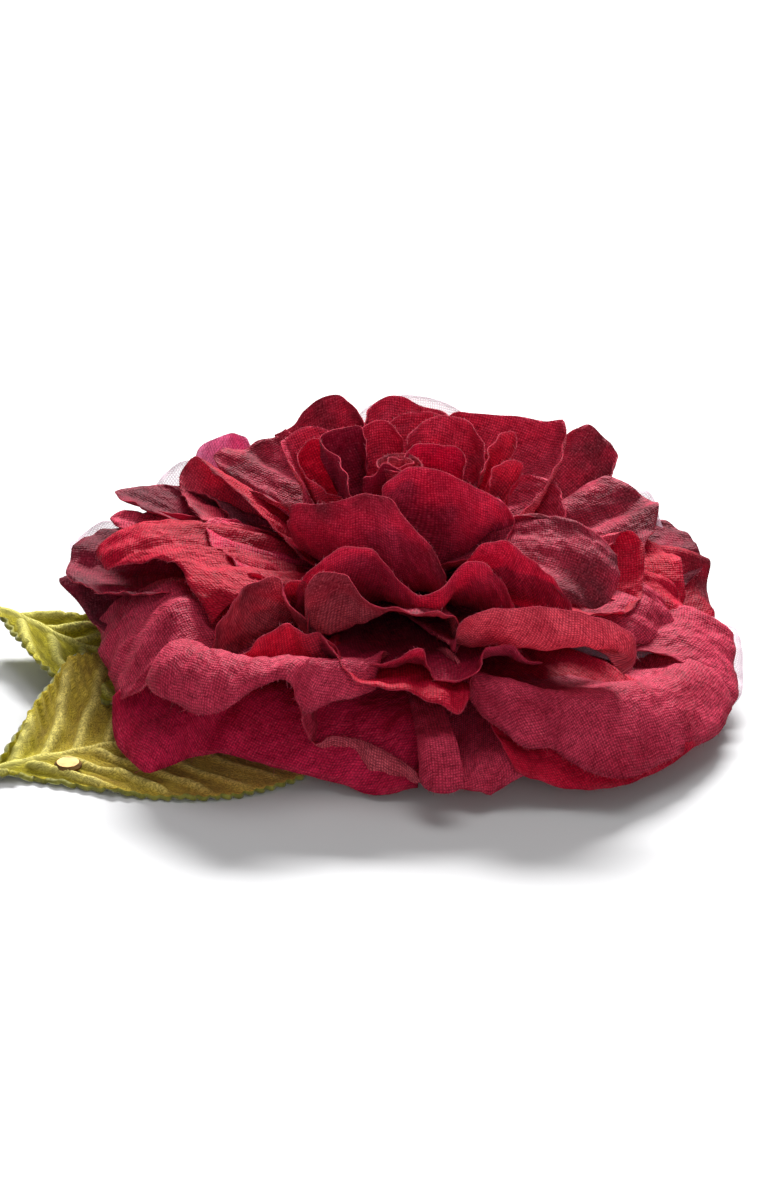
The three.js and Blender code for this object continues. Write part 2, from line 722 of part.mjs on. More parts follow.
// ---- Petals ----
const radians = THREE.MathUtils.degToRad;
const UP = new THREE.Vector3(0, 0, 1);
const placed = ([turn, radius, height]) =>
  new THREE.Vector3(radius * Math.cos(radians(turn)), radius * Math.sin(radians(turn)), height);
// One value, or a list of values at even places across the petal, read at s from 0 to 1.
const spread = (values, s) => {
  if (!Array.isArray(values)) return values;
  const place = s * (values.length - 1);
  const step = Math.min(Math.floor(place), values.length - 2);
  return values.length > 1 ? lerp(values[step], values[step + 1], place - step) : values[0];
};
const sloped = (outward, degrees) =>
  outward.clone().multiplyScalar(Math.cos(radians(degrees))).addScaledVector(UP, Math.sin(radians(degrees)));
// Points of a cubic curve from start to end, which leaves and arrives with the given tangents.
const curvePoints = (start, leave, end, arrive, steps) => {
  const points = [];
  for (let k = 0; k <= steps; k++) {
    const t = k / steps;
    points.push(
      new THREE.Vector3()
        .addScaledVector(start, 2 * t ** 3 - 3 * t ** 2 + 1)
        .addScaledVector(leave, t ** 3 - 2 * t ** 2 + t)
        .addScaledVector(end, 3 * t ** 2 - 2 * t ** 3)
        .addScaledVector(arrive, t ** 3 - t ** 2),
    );
  }
  return points;
};
const petalColumn = (petal, s, root, rim) => {
  const outward = rim.clone().sub(root).setZ(0).normalize();
  const leave = sloped(outward, spread(petal.rise, s));
  const arrive = sloped(outward, spread(petal.lean, s));
  if (!petal.crest) {
    const length = rim.distanceTo(root);
    leave.multiplyScalar(length);
    arrive.multiplyScalar(length);
    return curvePoints(root, leave, rim, arrive, PETAL_GRID.along);
  }
  const crest = root.clone().lerp(rim, spread(petal.crest.map(([share]) => share), s));
  crest.z = spread(petal.crest.map(([, height]) => height), s);
  const over = sloped(outward, spread(petal.arch ?? 0, s));
  const inner = crest.distanceTo(root);
  const outer = rim.distanceTo(crest);
  const half = PETAL_GRID.along / 2;
  over.multiplyScalar(inner * CREST_BEND);
  const lower = curvePoints(root, leave.multiplyScalar(inner), crest, over, half);
  const away = outward.multiplyScalar(outer * CREST_BEND);
  return [...lower, ...curvePoints(crest, away, rim, arrive.multiplyScalar(outer), half).slice(1)];
};
const petalGrid = (petal) => {
  const rim = new THREE.CatmullRomCurve3(petal.rim.map(placed)).getSpacedPoints(PETAL_GRID.across);
  const middle = rim.reduce((sum, point) => sum.add(point), new THREE.Vector3());
  const facing = THREE.MathUtils.radToDeg(Math.atan2(middle.y, middle.x));
  const [height, width] = petal.root;
  const rootTurn = THREE.MathUtils.radToDeg(width / CORE_RADIUS);
  const columns = rim.map((point, i) => {
    const s = i / PETAL_GRID.across;
    const root = placed([facing + rootTurn * (s - 0.5), CORE_RADIUS, height]);
    return petalColumn(petal, s, root, point);
  });
  for (const point of columns.flat()) point.z = Math.max(point.z, PETAL_THICKNESS / 2 + FLOOR_GAP);
  return columns.reverse();
};

// Soft sheets press against each other, so each gives way to those set before it: it is cut
// back by a gap from them, and keeps its largest piece.
const largest = (body) =>
  body.decompose().reduce((best, piece) => (piece.volume() > best.volume() ? piece : best));
const SIMPLIFY = 0.2; // detail below these sizes is left out, before and after the last cut
const SLIVER = 0.01;
const cleared = []; // what is already set in place, each with a copy swollen by the gap
// The same grid with its border pushed outwards by a margin.
const widened = (grid, margin) => {
  const across = grid.length - 1;
  const along = grid[0].length - 1;
  const pushed = grid.map((column) => column.map((point) => point.clone()));
  const push = (i, j, k, l) =>
    pushed[i][j].add(grid[i][j].clone().sub(grid[k][l]).normalize().multiplyScalar(margin));
  for (let i = 0; i <= across; i++) {
    push(i, 0, i, 1);
    push(i, along, i, along - 1);
  }
  for (let j = 0; j <= along; j++) {
    push(0, j, 1, j);
    push(across, j, across - 1, j);
  }
  return pushed;
};
const keepOut = (solid, swollen = solid) => cleared.push({ solid, swollen, box: swollen.boundingBox() });
const settle = (grid, thickness) => {
  const whole = toManifold(sheet(grid, thickness));
  const box = whole.boundingBox();
  const meets = (other) =>
    [0, 1, 2].every((axis) => box.min[axis] < other.box.max[axis] && other.box.min[axis] < box.max[axis]);
  const neighbours = cleared.filter(meets);
  const spaces = wasm.Manifold.union(neighbours.map((other) => other.swollen));
  const solids = wasm.Manifold.union(neighbours.map((other) => other.solid));
  const simple = largest(whole.subtract(spaces)).simplify(SIMPLIFY);
  const settled = largest(simple.subtract(solids)).asOriginal().simplify(SLIVER);
  keepOut(settled, toManifold(sheet(widened(grid, 2 * GAP), thickness + 3 * GAP)));
  return toGeometry(settled);
};

const swollenCore = [
  [0, CORE.bottom - GAP],
  [CORE.radius + GAP, CORE.bottom - GAP],
  [CORE.radius + GAP, CORE.shoulder],
  [CORE.tip + GAP, CORE.top + GAP],
  [0, CORE.top + GAP],
];
const swollenDisc = ({ radius, bottom, thickness }) =>
  disc({ radius: radius + GAP, bottom: bottom - GAP, thickness: thickness + 2 * GAP });
const rollThickness = ROLL.top - ROLL.bottom;
const swollenRoll = swollenDisc({ radius: ROLL.radius, bottom: ROLL.bottom, thickness: rollThickness });
const clipSpace = new THREE.BoxGeometry(
  TAIL_X - JAW_X + 2 * GAP,
  UPPER_WIDTH + 2 * HEAD.thickness + 4 * GAP,
  CLIP_HEIGHT + GAP,
).translate((TAIL_X + JAW_X) / 2, 0, (CLIP_HEIGHT + GAP) / 2);
const swollenBase = [swollenDisc(FELT), swollenDisc(BUCKRAM), turned(swollenCore, 16)];
for (const space of [clipSpace, ...swollenBase, swollenRoll]) keepOut(toManifold(space));
for (const leaf of LEAVES) add(leaf.name, settle(leafGrid(leaf), LEAF_THICKNESS), VELVET);
for (const stem of STEMS) {
  const section = new THREE.Shape();
  section.absarc(0, 0, STEM_RADIUS, 0, 2 * Math.PI);
  const route = new THREE.CatmullRomCurve3(toVectors(stem.route));
  const tube = { extrudePath: route, steps: 12, curveSegments: 4, bevelEnabled: false };
  add(stem.name, tidied(new THREE.ExtrudeGeometry(section, tube)), WIRE_FINISH);
}

// The stud lies on the leaf, square to it there.
const step = 0.02;
const studFoot = leafPoint(LEAVES[0], STUD.across, STUD.along);
const acrossLeaf = leafPoint(LEAVES[0], STUD.across + step, STUD.along).sub(studFoot);
const alongLeaf = leafPoint(LEAVES[0], STUD.across, STUD.along + step).sub(studFoot);
const studAxis = acrossLeaf.cross(alongLeaf).normalize();
studAxis.multiplyScalar(Math.sign(studAxis.z));
const studProfile = [
  [0, 0],
  [STUD.radius, 0],
  [STUD.radius, STUD.wall],
  [STUD.crown, STUD.thickness],
  [0, STUD.thickness],
];
const stud = add("leaf_stud", tidied(turned(studProfile, 20)), GOLD_FINISH);
stud.position.copy(studFoot).addScaledVector(studAxis, LEAF_THICKNESS / 2 + STUD.above);
stud.quaternion.setFromUnitVectors(new THREE.Vector3(0, 0, 1), studAxis);

const rollProfile = [[0, ROLL.bottom], [ROLL.radius, ROLL.bottom], [ROLL.radius, ROLL.top], [0, ROLL.top]];
add("bud_roll", tidied(turned(rollProfile, 14)), SILK);

for (const petal of PETALS) {
  const finish = petal.name.startsWith("organza") ? ORGANZA : SILK;
  add(petal.name, settle(petalGrid(petal), PETAL_THICKNESS), finish);
}

export default flower;
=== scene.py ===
import math
import random

import bpy
import numpy as np
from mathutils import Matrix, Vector, noise


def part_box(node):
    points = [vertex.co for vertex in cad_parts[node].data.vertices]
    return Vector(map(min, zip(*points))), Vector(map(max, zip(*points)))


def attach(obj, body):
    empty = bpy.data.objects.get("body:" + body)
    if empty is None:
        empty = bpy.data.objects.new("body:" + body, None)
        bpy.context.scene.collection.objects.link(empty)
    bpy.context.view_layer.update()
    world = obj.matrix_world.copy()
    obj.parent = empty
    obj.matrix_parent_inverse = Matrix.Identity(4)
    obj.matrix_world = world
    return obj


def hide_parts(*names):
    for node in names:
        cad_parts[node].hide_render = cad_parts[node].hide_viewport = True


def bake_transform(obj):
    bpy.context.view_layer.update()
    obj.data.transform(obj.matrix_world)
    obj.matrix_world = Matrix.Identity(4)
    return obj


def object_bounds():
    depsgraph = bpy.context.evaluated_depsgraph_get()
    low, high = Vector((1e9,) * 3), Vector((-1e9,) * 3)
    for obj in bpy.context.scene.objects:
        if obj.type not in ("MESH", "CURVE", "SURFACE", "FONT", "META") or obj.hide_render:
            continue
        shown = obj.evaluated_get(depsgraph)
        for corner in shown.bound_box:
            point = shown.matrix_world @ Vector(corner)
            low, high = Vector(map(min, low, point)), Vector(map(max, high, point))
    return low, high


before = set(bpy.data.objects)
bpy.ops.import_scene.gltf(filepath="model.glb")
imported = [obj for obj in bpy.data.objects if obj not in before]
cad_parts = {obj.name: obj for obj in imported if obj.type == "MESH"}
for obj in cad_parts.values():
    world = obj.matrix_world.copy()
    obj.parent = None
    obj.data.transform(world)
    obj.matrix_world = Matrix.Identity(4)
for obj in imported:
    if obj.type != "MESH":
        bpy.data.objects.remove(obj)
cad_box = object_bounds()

MM = 0.001
SEED = 20
random.seed(SEED)

FLOWER = "flower"  # body that everything but the lower arm belongs to

# ---- View ----
VIEW_TARGET = (-1.3, 0, 15.3)
VIEW_DISTANCE = 700
VIEW_ELEVATION = 25  # degrees above the floor
LENS = 112.3
SENSOR = 36

# ---- Petals ----
# Each petal is cut from stiffened silk and glued to the core by its root. Heights and radii
# are in millimetres and turns in degrees round the flower's axis, anticlockwise from +X.
# root: height on the core, and width there. rise: slope at which the cloth leaves the core.
# rim: points of the free edge, each (turn, radius, height). lean: slope of the cloth as it
# meets the rim, 90 for upright, 0 for flat and negative where the rim rolls over and down.
# crest: where the cloth folds over, at even places across: (share of the way out, height).
# arch: slope at the crest, and bend: how far the fold swings out. pleats: their depth.
# silk: the cloth's finish. dust: how much of the tip is dyed darker, from the rim inwards.
# dye_fade: how fast the painted shade at the root fades out, slowly below 1. tuck: a small petal
# between the others, which the solid model leaves out.
PETAL_DEFAULTS = dict(silk="rose", rise=0, arch=0, bend=0.8, pleats=0.9, dust=0, dye_fade=1.6, tuck=False)
PETALS = {}


def cut(name, **shape):
    """Adds a petal of this shape to the flower."""
    PETALS[name] = {**PETAL_DEFAULTS, **shape}


cut("outer_front_left", root=(12.5, 24), rise=10, lean=-40, silk="wine",
    crest=[(0.72, 13), (0.7, 14), (0.7, 13), (0.75, 12)],
    rim=[(211, 60, 10), (214, 62, 7), (218, 64, 5), (223, 65, 4), (228, 66, 4), (229, 62, 4), (231, 57, 5),
         (236, 55, 6), (240, 53, 5), (247, 52, 4), (257, 50, 2), (266, 52, 1), (271, 52, 2), (274, 51, 2)])
cut("outer_front", root=(13, 18),
    lean=[80, 90, 100, 110, 100, -40, -60, -60, -50],
    crest=[(0.97, 20), (0.95, 14), (0.92, 4), (1.05, 3.5), (1.04, 3), (0.95, 4.5), (0.93, 6), (0.9, 9),
           (0.85, 11)],
    rim=[(247, 48, 20), (250, 51, 17), (251, 50, 12), (252, 49, 9), (255, 47, 9), (260, 46, 9),
         (266, 47, 8), (272, 50, 6), (275, 55, 5), (278, 56, 4), (281, 56, 4), (284, 58, 4), (286, 58, 3),
         (288, 58, 4), (294, 58, 6), (301, 57, 7)])
cut("outer_front_right", root=(15, 20), rise=-12, lean=-60, arch=30,
    crest=[(0.8, 21), (0.8, 19), (0.8, 18), (0.82, 14), (0.85, 12)],
    rim=[(287, 41, 19), (287, 45, 15), (291, 52, 12), (294, 56, 10), (298, 58, 10), (299, 60, 9),
         (302, 65, 7), (306, 68, 6), (312, 68, 6), (320, 68, 6), (328, 68, 5), (335, 67, 6), (340, 65, 7),
         (346, 62, 10)])
cut("outer_under_right", root=(12.5, 16), lean=-40, silk="scarlet",
    rim=[(291, 58, 7), (295, 60, 5), (299, 63, 4), (304, 66, 4), (308, 67, 4), (315, 68, 5), (323, 68, 6)])
cut("outer_right", root=(13.5, 18), rise=5, lean=-50,
    crest=[(0.8, 14), (0.78, 16), (0.8, 15)],
    rim=[(337, 66, 4), (342, 66, 6), (348, 64, 8), (354, 63, 11), (358, 59, 10), (363, 56, 7),
         (369, 52, 4)])
cut("outer_back_right", root=(13, 20), rise=8, lean=-30, silk="scarlet", dust=0.2,
    rim=[(358, 60, 8), (364, 60, 10), (370, 60, 12), (374, 62, 16), (379, 61, 15), (386, 60, 14)])
cut("outer_back", root=(13.5, 20), rise=8, lean=-35, silk="wine",
    rim=[(48, 55, 15), (58, 60, 10), (70, 61, 8), (84, 60, 12), (98, 61, 9), (108, 56, 14)])
cut("outer_back_left", root=(13, 20), rise=8, lean=-35, silk="wine",
    rim=[(102, 54, 15), (112, 60, 10), (124, 62, 7), (136, 60, 11), (148, 60, 8), (158, 55, 13)])
cut("outer_left", root=(13.5, 18), rise=8, lean=-20, silk="dusk", dust=0.4,
    rim=[(159, 60, 9), (166, 62, 12), (171, 64, 15), (175, 64, 16), (179, 60, 14), (186, 57, 13),
         (195, 54, 14)])
cut("outer_side_left", root=(15, 20), rise=20, lean=-60, arch=20,
    crest=[(0.72, 20), (0.7, 24), (0.72, 25), (0.75, 20), (0.7, 14)],
    rim=[(184, 56, 12), (192, 56, 12), (199, 57, 11), (208, 58, 10), (213, 59, 10), (217, 58, 13),
         (221, 58, 16), (229, 56, 21)])
cut("second_front_left", root=(15.5, 20), rise=-15, lean=-80, arch=40,
    crest=[(0.84, 22), (0.82, 24), (0.83, 25), (0.85, 24), (0.85, 23)],
    rim=[(219, 58, 16), (224, 60, 16), (230, 60, 16), (235, 61, 16), (240, 60, 18), (243, 58, 21),
         (245, 56, 22), (248, 54, 23), (250, 54, 22), (251, 53, 18), (252, 52, 16), (257, 50, 18),
         (261, 48, 18), (265, 44, 18)])
cut("second_front", root=(14.5, 18), silk="scarlet", lean=[40, 0, -30, -40, -30, 10],
    crest=[(0.8, 20), (0.85, 19.5), (0.88, 20), (0.88, 18), (0.85, 17)],
    rim=[(249, 40, 25), (256, 44, 24), (261, 48, 22), (267, 49, 21), (273, 50, 20), (278, 50, 18),
         (282, 51, 16), (284, 50, 17), (286, 46, 18), (288, 42, 20)])
cut("second_front_right", root=(19, 20), lean=100, bend=0.6,
    crest=[(0.9, 22), (0.88, 22), (0.9, 22)],
    rim=[(286, 38, 22), (286, 38, 26), (291, 40, 30), (299, 44, 31), (306, 50, 32), (312, 54, 30),
         (315, 56, 28), (316, 58, 26), (316, 58, 22), (314, 58, 20)])
cut("second_right_low", root=(16, 16), lean=-70, tuck=True,
    crest=[(0.8, 19), (0.8, 20), (0.85, 20)],
    rim=[(333, 46, 16), (340, 50, 14), (346, 52, 13), (349, 54, 13), (351, 52, 14), (353, 50, 17),
         (355, 48, 19)])
cut("second_right", root=(16.5, 16), rise=20, lean=-30, silk="scarlet",
    rim=[(345, 46, 18), (349, 52, 15), (351, 54, 14), (356, 54, 15), (359, 53, 16), (362, 51, 18),
         (366, 48, 16)])
cut("second_side_right", root=(17, 16), rise=20, lean=0, silk="scarlet",
    rim=[(355, 51, 14), (360, 54, 15), (364, 54, 18), (369, 54, 20), (373, 52, 20), (379, 50, 20)])
cut("second_dark_right", root=(15.5, 18), rise=15, lean=0, silk="dusk", dust=0.5, tuck=True,
    rim=[(8, 55, 14), (13, 60, 16), (16, 60, 18), (20, 60, 19), (24, 58, 20), (28, 55, 20)])
cut("second_back_right", root=(17, 18), rise=15, lean=20, dust=0.35,
    rim=[(6, 40, 22), (12, 48, 22), (18, 52, 24), (22, 54, 26), (27, 54, 25), (31, 52, 27), (35, 50, 28),
         (38, 48, 26), (41, 46, 24)])
cut("second_back_corner", root=(17, 16), rise=15, lean=55, dust=0.6,
    rim=[(35, 48, 26), (38, 54, 28), (40, 56, 29), (42, 57, 30), (44, 56, 32), (47, 55, 34), (49, 53, 33),
         (50, 50, 32)])
cut("second_back_mid_right", root=(18, 18), rise=30, lean=75,
    rim=[(11, 22, 29), (21, 28, 31), (29, 34, 34), (37, 40, 36), (43, 44, 39), (48, 43, 38), (55, 42, 38),
         (61, 40, 38), (68, 39, 38), (73, 38, 38), (74, 36, 36)])
cut("second_back_mid_left", root=(18, 16), rise=25, lean=75,
    rim=[(70, 35, 37), (77, 38, 38), (83, 40, 38), (89, 40, 40), (94, 39, 40), (98, 38, 38),
         (101, 34, 36)])
cut("second_back_left", root=(18, 16), rise=25, lean=75, dust=0.5,
    rim=[(101, 30, 36), (101, 34, 38), (104, 37, 40), (107, 40, 41), (112, 41, 40), (116, 41, 38),
         (120, 40, 36), (126, 40, 35)])
cut("second_corner_left", root=(17, 16), rise=15, lean=55, silk="lilac",
    rim=[(132, 39, 30), (130, 44, 32), (131, 46, 34), (132, 48, 34), (135, 50, 33), (138, 51, 32),
         (142, 50, 30)])
cut("second_diagonal_left", root=(17, 18), rise=35, lean=20, silk="scarlet", dust=0.1,
    pleats=1.6, tuck=True,
    rim=[(168, 37, 28), (159, 42, 28), (152, 47, 28), (148, 49, 30), (146, 47, 33), (150, 40, 32),
         (154, 34, 31), (161, 28, 29), (172, 22, 27), (190, 18, 25)])
cut("second_side_left", root=(17.5, 16), rise=20, lean=15, silk="dusk", dust=0.6,
    rim=[(162, 32, 26), (155, 38, 28), (152, 43, 28), (151, 48, 28), (152, 52, 28), (155, 55, 28),
         (158, 58, 28), (161, 56, 28), (165, 50, 28)])
cut("second_tip_left", root=(17, 14), rise=20, lean=0, tuck=True,
    rim=[(163, 47, 27), (163, 52, 26), (164, 54, 27), (166, 56, 26), (168, 55, 26), (171, 52, 26),
         (173, 48, 28)])
cut("second_left", root=(17.5, 20), rise=25, lean=-45, silk="scarlet", pleats=2.2,
    crest=[(0.8, 27), (0.8, 28), (0.8, 28), (0.8, 27)],
    rim=[(168, 40, 26), (168, 44, 26), (169, 48, 26), (172, 52, 26), (176, 55, 25), (180, 56, 24),
         (183, 55, 24), (185, 54, 23), (187, 51, 25), (190, 48, 26), (194, 44, 28), (199, 42, 28),
         (206, 42, 26), (212, 42, 25), (217, 42, 22)])
cut("second_dark_left", root=(16, 18), rise=15, lean=10, silk="dusk", dust=0.2,
    rim=[(160, 52, 22), (163, 58, 22), (167, 60, 22), (171, 62, 22), (174, 62, 20), (179, 62, 20),
         (183, 60, 20), (188, 56, 20), (193, 52, 22), (200, 48, 24)])
cut("third_front_left", root=(17.5, 20), rise=-20, lean=85, dust=0.2,
    rim=[(226, 47, 19), (225, 46, 22), (225, 44, 26), (225, 42, 28), (224, 38, 30), (224, 34, 30),
         (226, 32, 30), (230, 32, 28), (235, 33, 26), (241, 34, 24)])
cut("third_low_left", root=(15.5, 18), rise=-10, lean=60, silk="scarlet", bend=0.7,
    crest=[(0.85, 17)],
    rim=[(232, 47, 21), (235, 46, 23), (237, 46, 25), (240, 44, 27), (243, 42, 28), (247, 42, 26),
         (250, 40, 26), (253, 40, 24), (255, 42, 22)])
cut("third_front", root=(19, 22), rise=5, dust=0.35, bend=0.5,
    lean=[95, 95, 95, 80, 30, 10, 10, 60, 90],
    crest=[(0.92, 22), (0.92, 22), (0.92, 21), (0.9, 24), (0.9, 27), (0.9, 27), (0.92, 26), (0.95, 21)],
    rim=[(243, 34, 22), (241, 34, 28), (242, 34, 32), (245, 33, 34), (250, 32, 34), (254, 32, 34),
         (257, 33, 32), (262, 34, 30), (270, 34, 29), (276, 35, 28), (280, 36, 29), (284, 35, 28),
         (288, 34, 26), (288, 35, 22), (287, 36, 20)])
# Here the painted shade reaches far out from the root, to darken the cavity behind the rim.
cut("third_low_front", root=(17.5, 22), lean=65, silk="wine", bend=0.7, dye_fade=0.35,
    crest=[(0.85, 20)],
    rim=[(251, 41, 26), (256, 44, 24), (260, 44, 22), (265, 43, 22), (270, 43, 23), (273, 43, 25),
         (276, 44, 26), (277, 44, 23), (278, 44, 20), (281, 46, 20), (285, 46, 20), (288, 46, 22),
         (290, 45, 25), (294, 44, 25), (298, 44, 24), (300, 45, 22), (304, 46, 20)])
cut("third_wavy_front", root=(20, 22), rise=-15, lean=85, silk="wine",
    rim=[(227, 27, 23), (233, 28, 30), (241, 26, 34), (247, 25, 36), (253, 24, 36), (258, 24, 36),
         (264, 25, 34), (270, 26, 31), (278, 28, 29), (284, 29, 30), (290, 28, 31), (295, 28, 34),
         (299, 28, 34), (302, 30, 34), (305, 30, 32), (307, 32, 30), (308, 34, 26)])
cut("third_front_right", root=(21.5, 16), lean=80, silk="wine",
    rim=[(305, 20, 28), (305, 23, 32), (307, 25, 35), (312, 27, 36), (315, 28, 36), (317, 31, 34),
         (319, 34, 32), (321, 36, 30), (322, 39, 26), (321, 42, 24)])
cut("third_right_curl", root=(22, 14), rise=45, lean=-45, dust=0.5,
    rim=[(321, 38, 27), (324, 41, 25), (328, 43, 24), (333, 44, 25), (337, 44, 28), (341, 42, 30),
         (344, 40, 32), (346, 36, 32), (345, 31, 32)])
cut("third_right", root=(20.5, 14), rise=25, lean=20, silk="scarlet",
    rim=[(331, 44, 22), (338, 45, 20), (345, 46, 20), (351, 46, 21), (356, 46, 24), (360, 46, 26),
         (363, 44, 28), (363, 42, 28), (360, 40, 26), (357, 38, 26)])
cut("third_back_right", root=(21, 16), rise=20, lean=60,
    rim=[(8, 30, 26), (16, 33, 29), (30, 35, 31), (42, 33, 31), (50, 29, 29)])
cut("third_back", root=(21, 16), rise=25, lean=75,
    rim=[(58, 27, 34), (66, 29, 39), (78, 30, 41), (90, 29, 40), (100, 26, 35)])
cut("third_back_left", root=(22, 18), rise=30, lean=15, dust=0.4,
    rim=[(125, 37, 37), (128, 39, 35), (131, 41, 34), (135, 42, 33), (139, 43, 34), (143, 44, 33),
         (145, 42, 32), (147, 38, 30), (148, 34, 30), (150, 30, 30), (153, 26, 30), (157, 20, 31)])
cut("third_left", root=(20, 14), rise=20, lean=30, silk="wine", pleats=2.0,
    rim=[(162, 32, 27), (167, 36, 28), (175, 36, 28), (187, 34, 28), (198, 32, 28), (207, 31, 26)])
cut("fourth_front_left", root=(21, 24), rise=-10, lean=92, silk="wine", dust=0.25,
    rim=[(180, 20, 30), (192, 20, 36), (208, 17, 38), (226, 16, 40), (243, 14, 42), (256, 14, 42),
         (267, 15, 42), (273, 16, 40), (280, 18, 37), (287, 19, 35), (291, 20, 32), (293, 22, 29)])
cut("fourth_front_right", root=(22, 20), rise=-5, lean=95, silk="wine",
    rim=[(254, 10, 40), (256, 8, 42), (288, 6, 44), (319, 8, 44), (331, 10, 43), (337, 12, 42),
         (341, 15, 40), (347, 18, 38), (351, 20, 36), (346, 22, 33), (336, 22, 31)])
cut("fourth_left", root=(24, 14), rise=15, lean=70,
    rim=[(120, 26, 40), (125, 27, 41), (131, 28, 41), (138, 28, 40), (144, 27, 40), (149, 24, 38),
         (159, 20, 38), (173, 17, 34)])
cut("fourth_side_left", root=(24.5, 12), rise=20, lean=75, silk="scarlet", tuck=True,
    rim=[(134, 16, 40), (137, 19, 42), (141, 21, 42), (146, 22, 40), (152, 21, 39), (157, 18, 37),
         (167, 14, 36), (180, 10, 36)])
cut("fourth_back", root=(25, 12), rise=30, lean=85, tuck=True,
    rim=[(87, 14, 42), (94, 17, 44), (104, 18, 44), (116, 16, 43), (121, 14, 42)])
cut("fourth_back_right", root=(25, 14), rise=20, lean=85,
    rim=[(14, 16, 38), (24, 18, 40), (32, 19, 42), (41, 20, 44), (50, 20, 45), (62, 17, 46), (73, 14, 45),
         (79, 10, 44), (79, 8, 43)])
cut("fourth_right", root=(24.5, 12), rise=20, lean=75, silk="scarlet",
    rim=[(14, 16, 39), (30, 20, 41), (38, 24, 42), (37, 28, 42), (31, 26, 40), (24, 22, 36)])
cut("bud_left", root=(28, 8), rise=40, lean=85, silk="dusk",
    rim=[(129, 9, 41), (119, 14, 45), (128, 15, 45), (138, 16, 45), (148, 17, 44), (164, 11, 42),
         (205, 10, 40), (219, 10, 38)])
cut("bud_right", root=(28, 9), rise=30, lean=85, silk="wine",
    rim=[(0, 12, 40), (14, 13, 42), (23, 12, 44), (34, 10, 44), (47, 8, 44), (61, 6, 44), (57, 2, 42)])
cut("bud_front", root=(29, 8), rise=20, lean=88, silk="dusk", tuck=True,
    rim=[(217, 8, 40), (221, 8, 42), (222, 6, 42), (231, 4, 44), (266, 3, 43), (294, 4, 42)])
cut("bud_fold_right", root=(25, 8), rise=20, lean=70, silk="scarlet", tuck=True,
    rim=[(0, 17, 38), (13, 18, 40), (17, 20, 40), (20, 23, 40), (19, 25, 39), (13, 22, 36), (8, 21, 34)])
cut("outer_front_tuck", root=(14.5, 3), lean=-75, tuck=True,
    crest=[(0.88, 12)],
    rim=[(274, 57, 7), (275, 59, 6), (277, 61, 6), (279, 61, 6), (281, 61, 7)])
cut("third_tuck_left", root=(19, 10), rise=5, lean=[80, 60, 30, 30], silk="scarlet", tuck=True,
    rim=[(217, 30, 28), (212, 31, 28), (207, 33, 27), (207, 36, 26), (209, 38, 24), (212, 38, 22),
         (218, 38, 20)])
cut("third_tuck_front", root=(20, 8), rise=5, lean=80, silk="scarlet", tuck=True,
    rim=[(225, 29, 26), (226, 28, 28), (232, 28, 29), (237, 28, 28), (238, 29, 25)])
cut("organza_back", root=(15.5, 18), rise=15, lean=70, silk="organza",
    rim=[(67, 37, 36), (73, 40, 38), (81, 42, 39), (89, 43, 39), (95, 42, 38), (100, 40, 37),
         (103, 36, 35)])
cut("organza_left", root=(15, 16), rise=12, lean=40, silk="organza",
    rim=[(144, 38, 26), (143, 44, 28), (142, 48, 30), (143, 52, 30), (146, 54, 28), (150, 54, 26),
         (155, 52, 24)])
cut("organza_side_left", root=(14, 16), rise=12, lean=20, silk="organza", tuck=True,
    rim=[(159, 55, 22), (160, 60, 22), (162, 63, 20), (167, 64, 20), (171, 62, 20), (176, 60, 19)])
cut("organza_back_right", root=(14.5, 16), rise=10, lean=30, silk="organza", tuck=True,
    rim=[(19, 55, 18), (25, 56, 21), (30, 57, 24), (33, 56, 25), (37, 55, 25), (40, 52, 24)])
cut("organza_right", root=(12.5, 18), rise=5, lean=-30, silk="organza",
    rim=[(340, 64, 2), (344, 66, 4), (351, 65, 7), (356, 64, 10), (361, 62, 9), (366, 58, 8)])

CORE_RADIUS = 7.5  # where the roots are glued
PETAL_THICKNESS = 0.2
ORGANZA_THICKNESS = 0.08
PETAL_ACROSS = 56  # faces across a petal and along it
PETAL_ALONG = 40
CREST_SOFTENING = 4  # rounds of smoothing over a crest's fold
FLOOR_CLEARANCE = 0.4  # no cloth comes nearer to the floor than this
THREAD_CLEARANCE = 0.15
UV_SPAN = 100  # millimetres of cloth in one unit of texture space

# Each kind of fold: the size of its waves across and along the cloth, and its own key, which
# keeps it apart from the others.
FAN = (7, 40, 0)
FOLD = (3.2, 16, 7)
WAVE = (3.4, 9, 3)
CREASE = (1.8, 2.4, 13)
SLANT = (2.6, 11, 17)
RIPPLE = 0.9  # depths of the rim's waves, of the creases and of the slanting creases
CREASE_DEPTH = 0.18
SLANT_DEPTH = 0.42


# ---- Curves and sheets, in millimetres ----
def place(turn, radius, height):
    angle = math.radians(turn)
    return np.array([radius * math.cos(angle), radius * math.sin(angle), height])


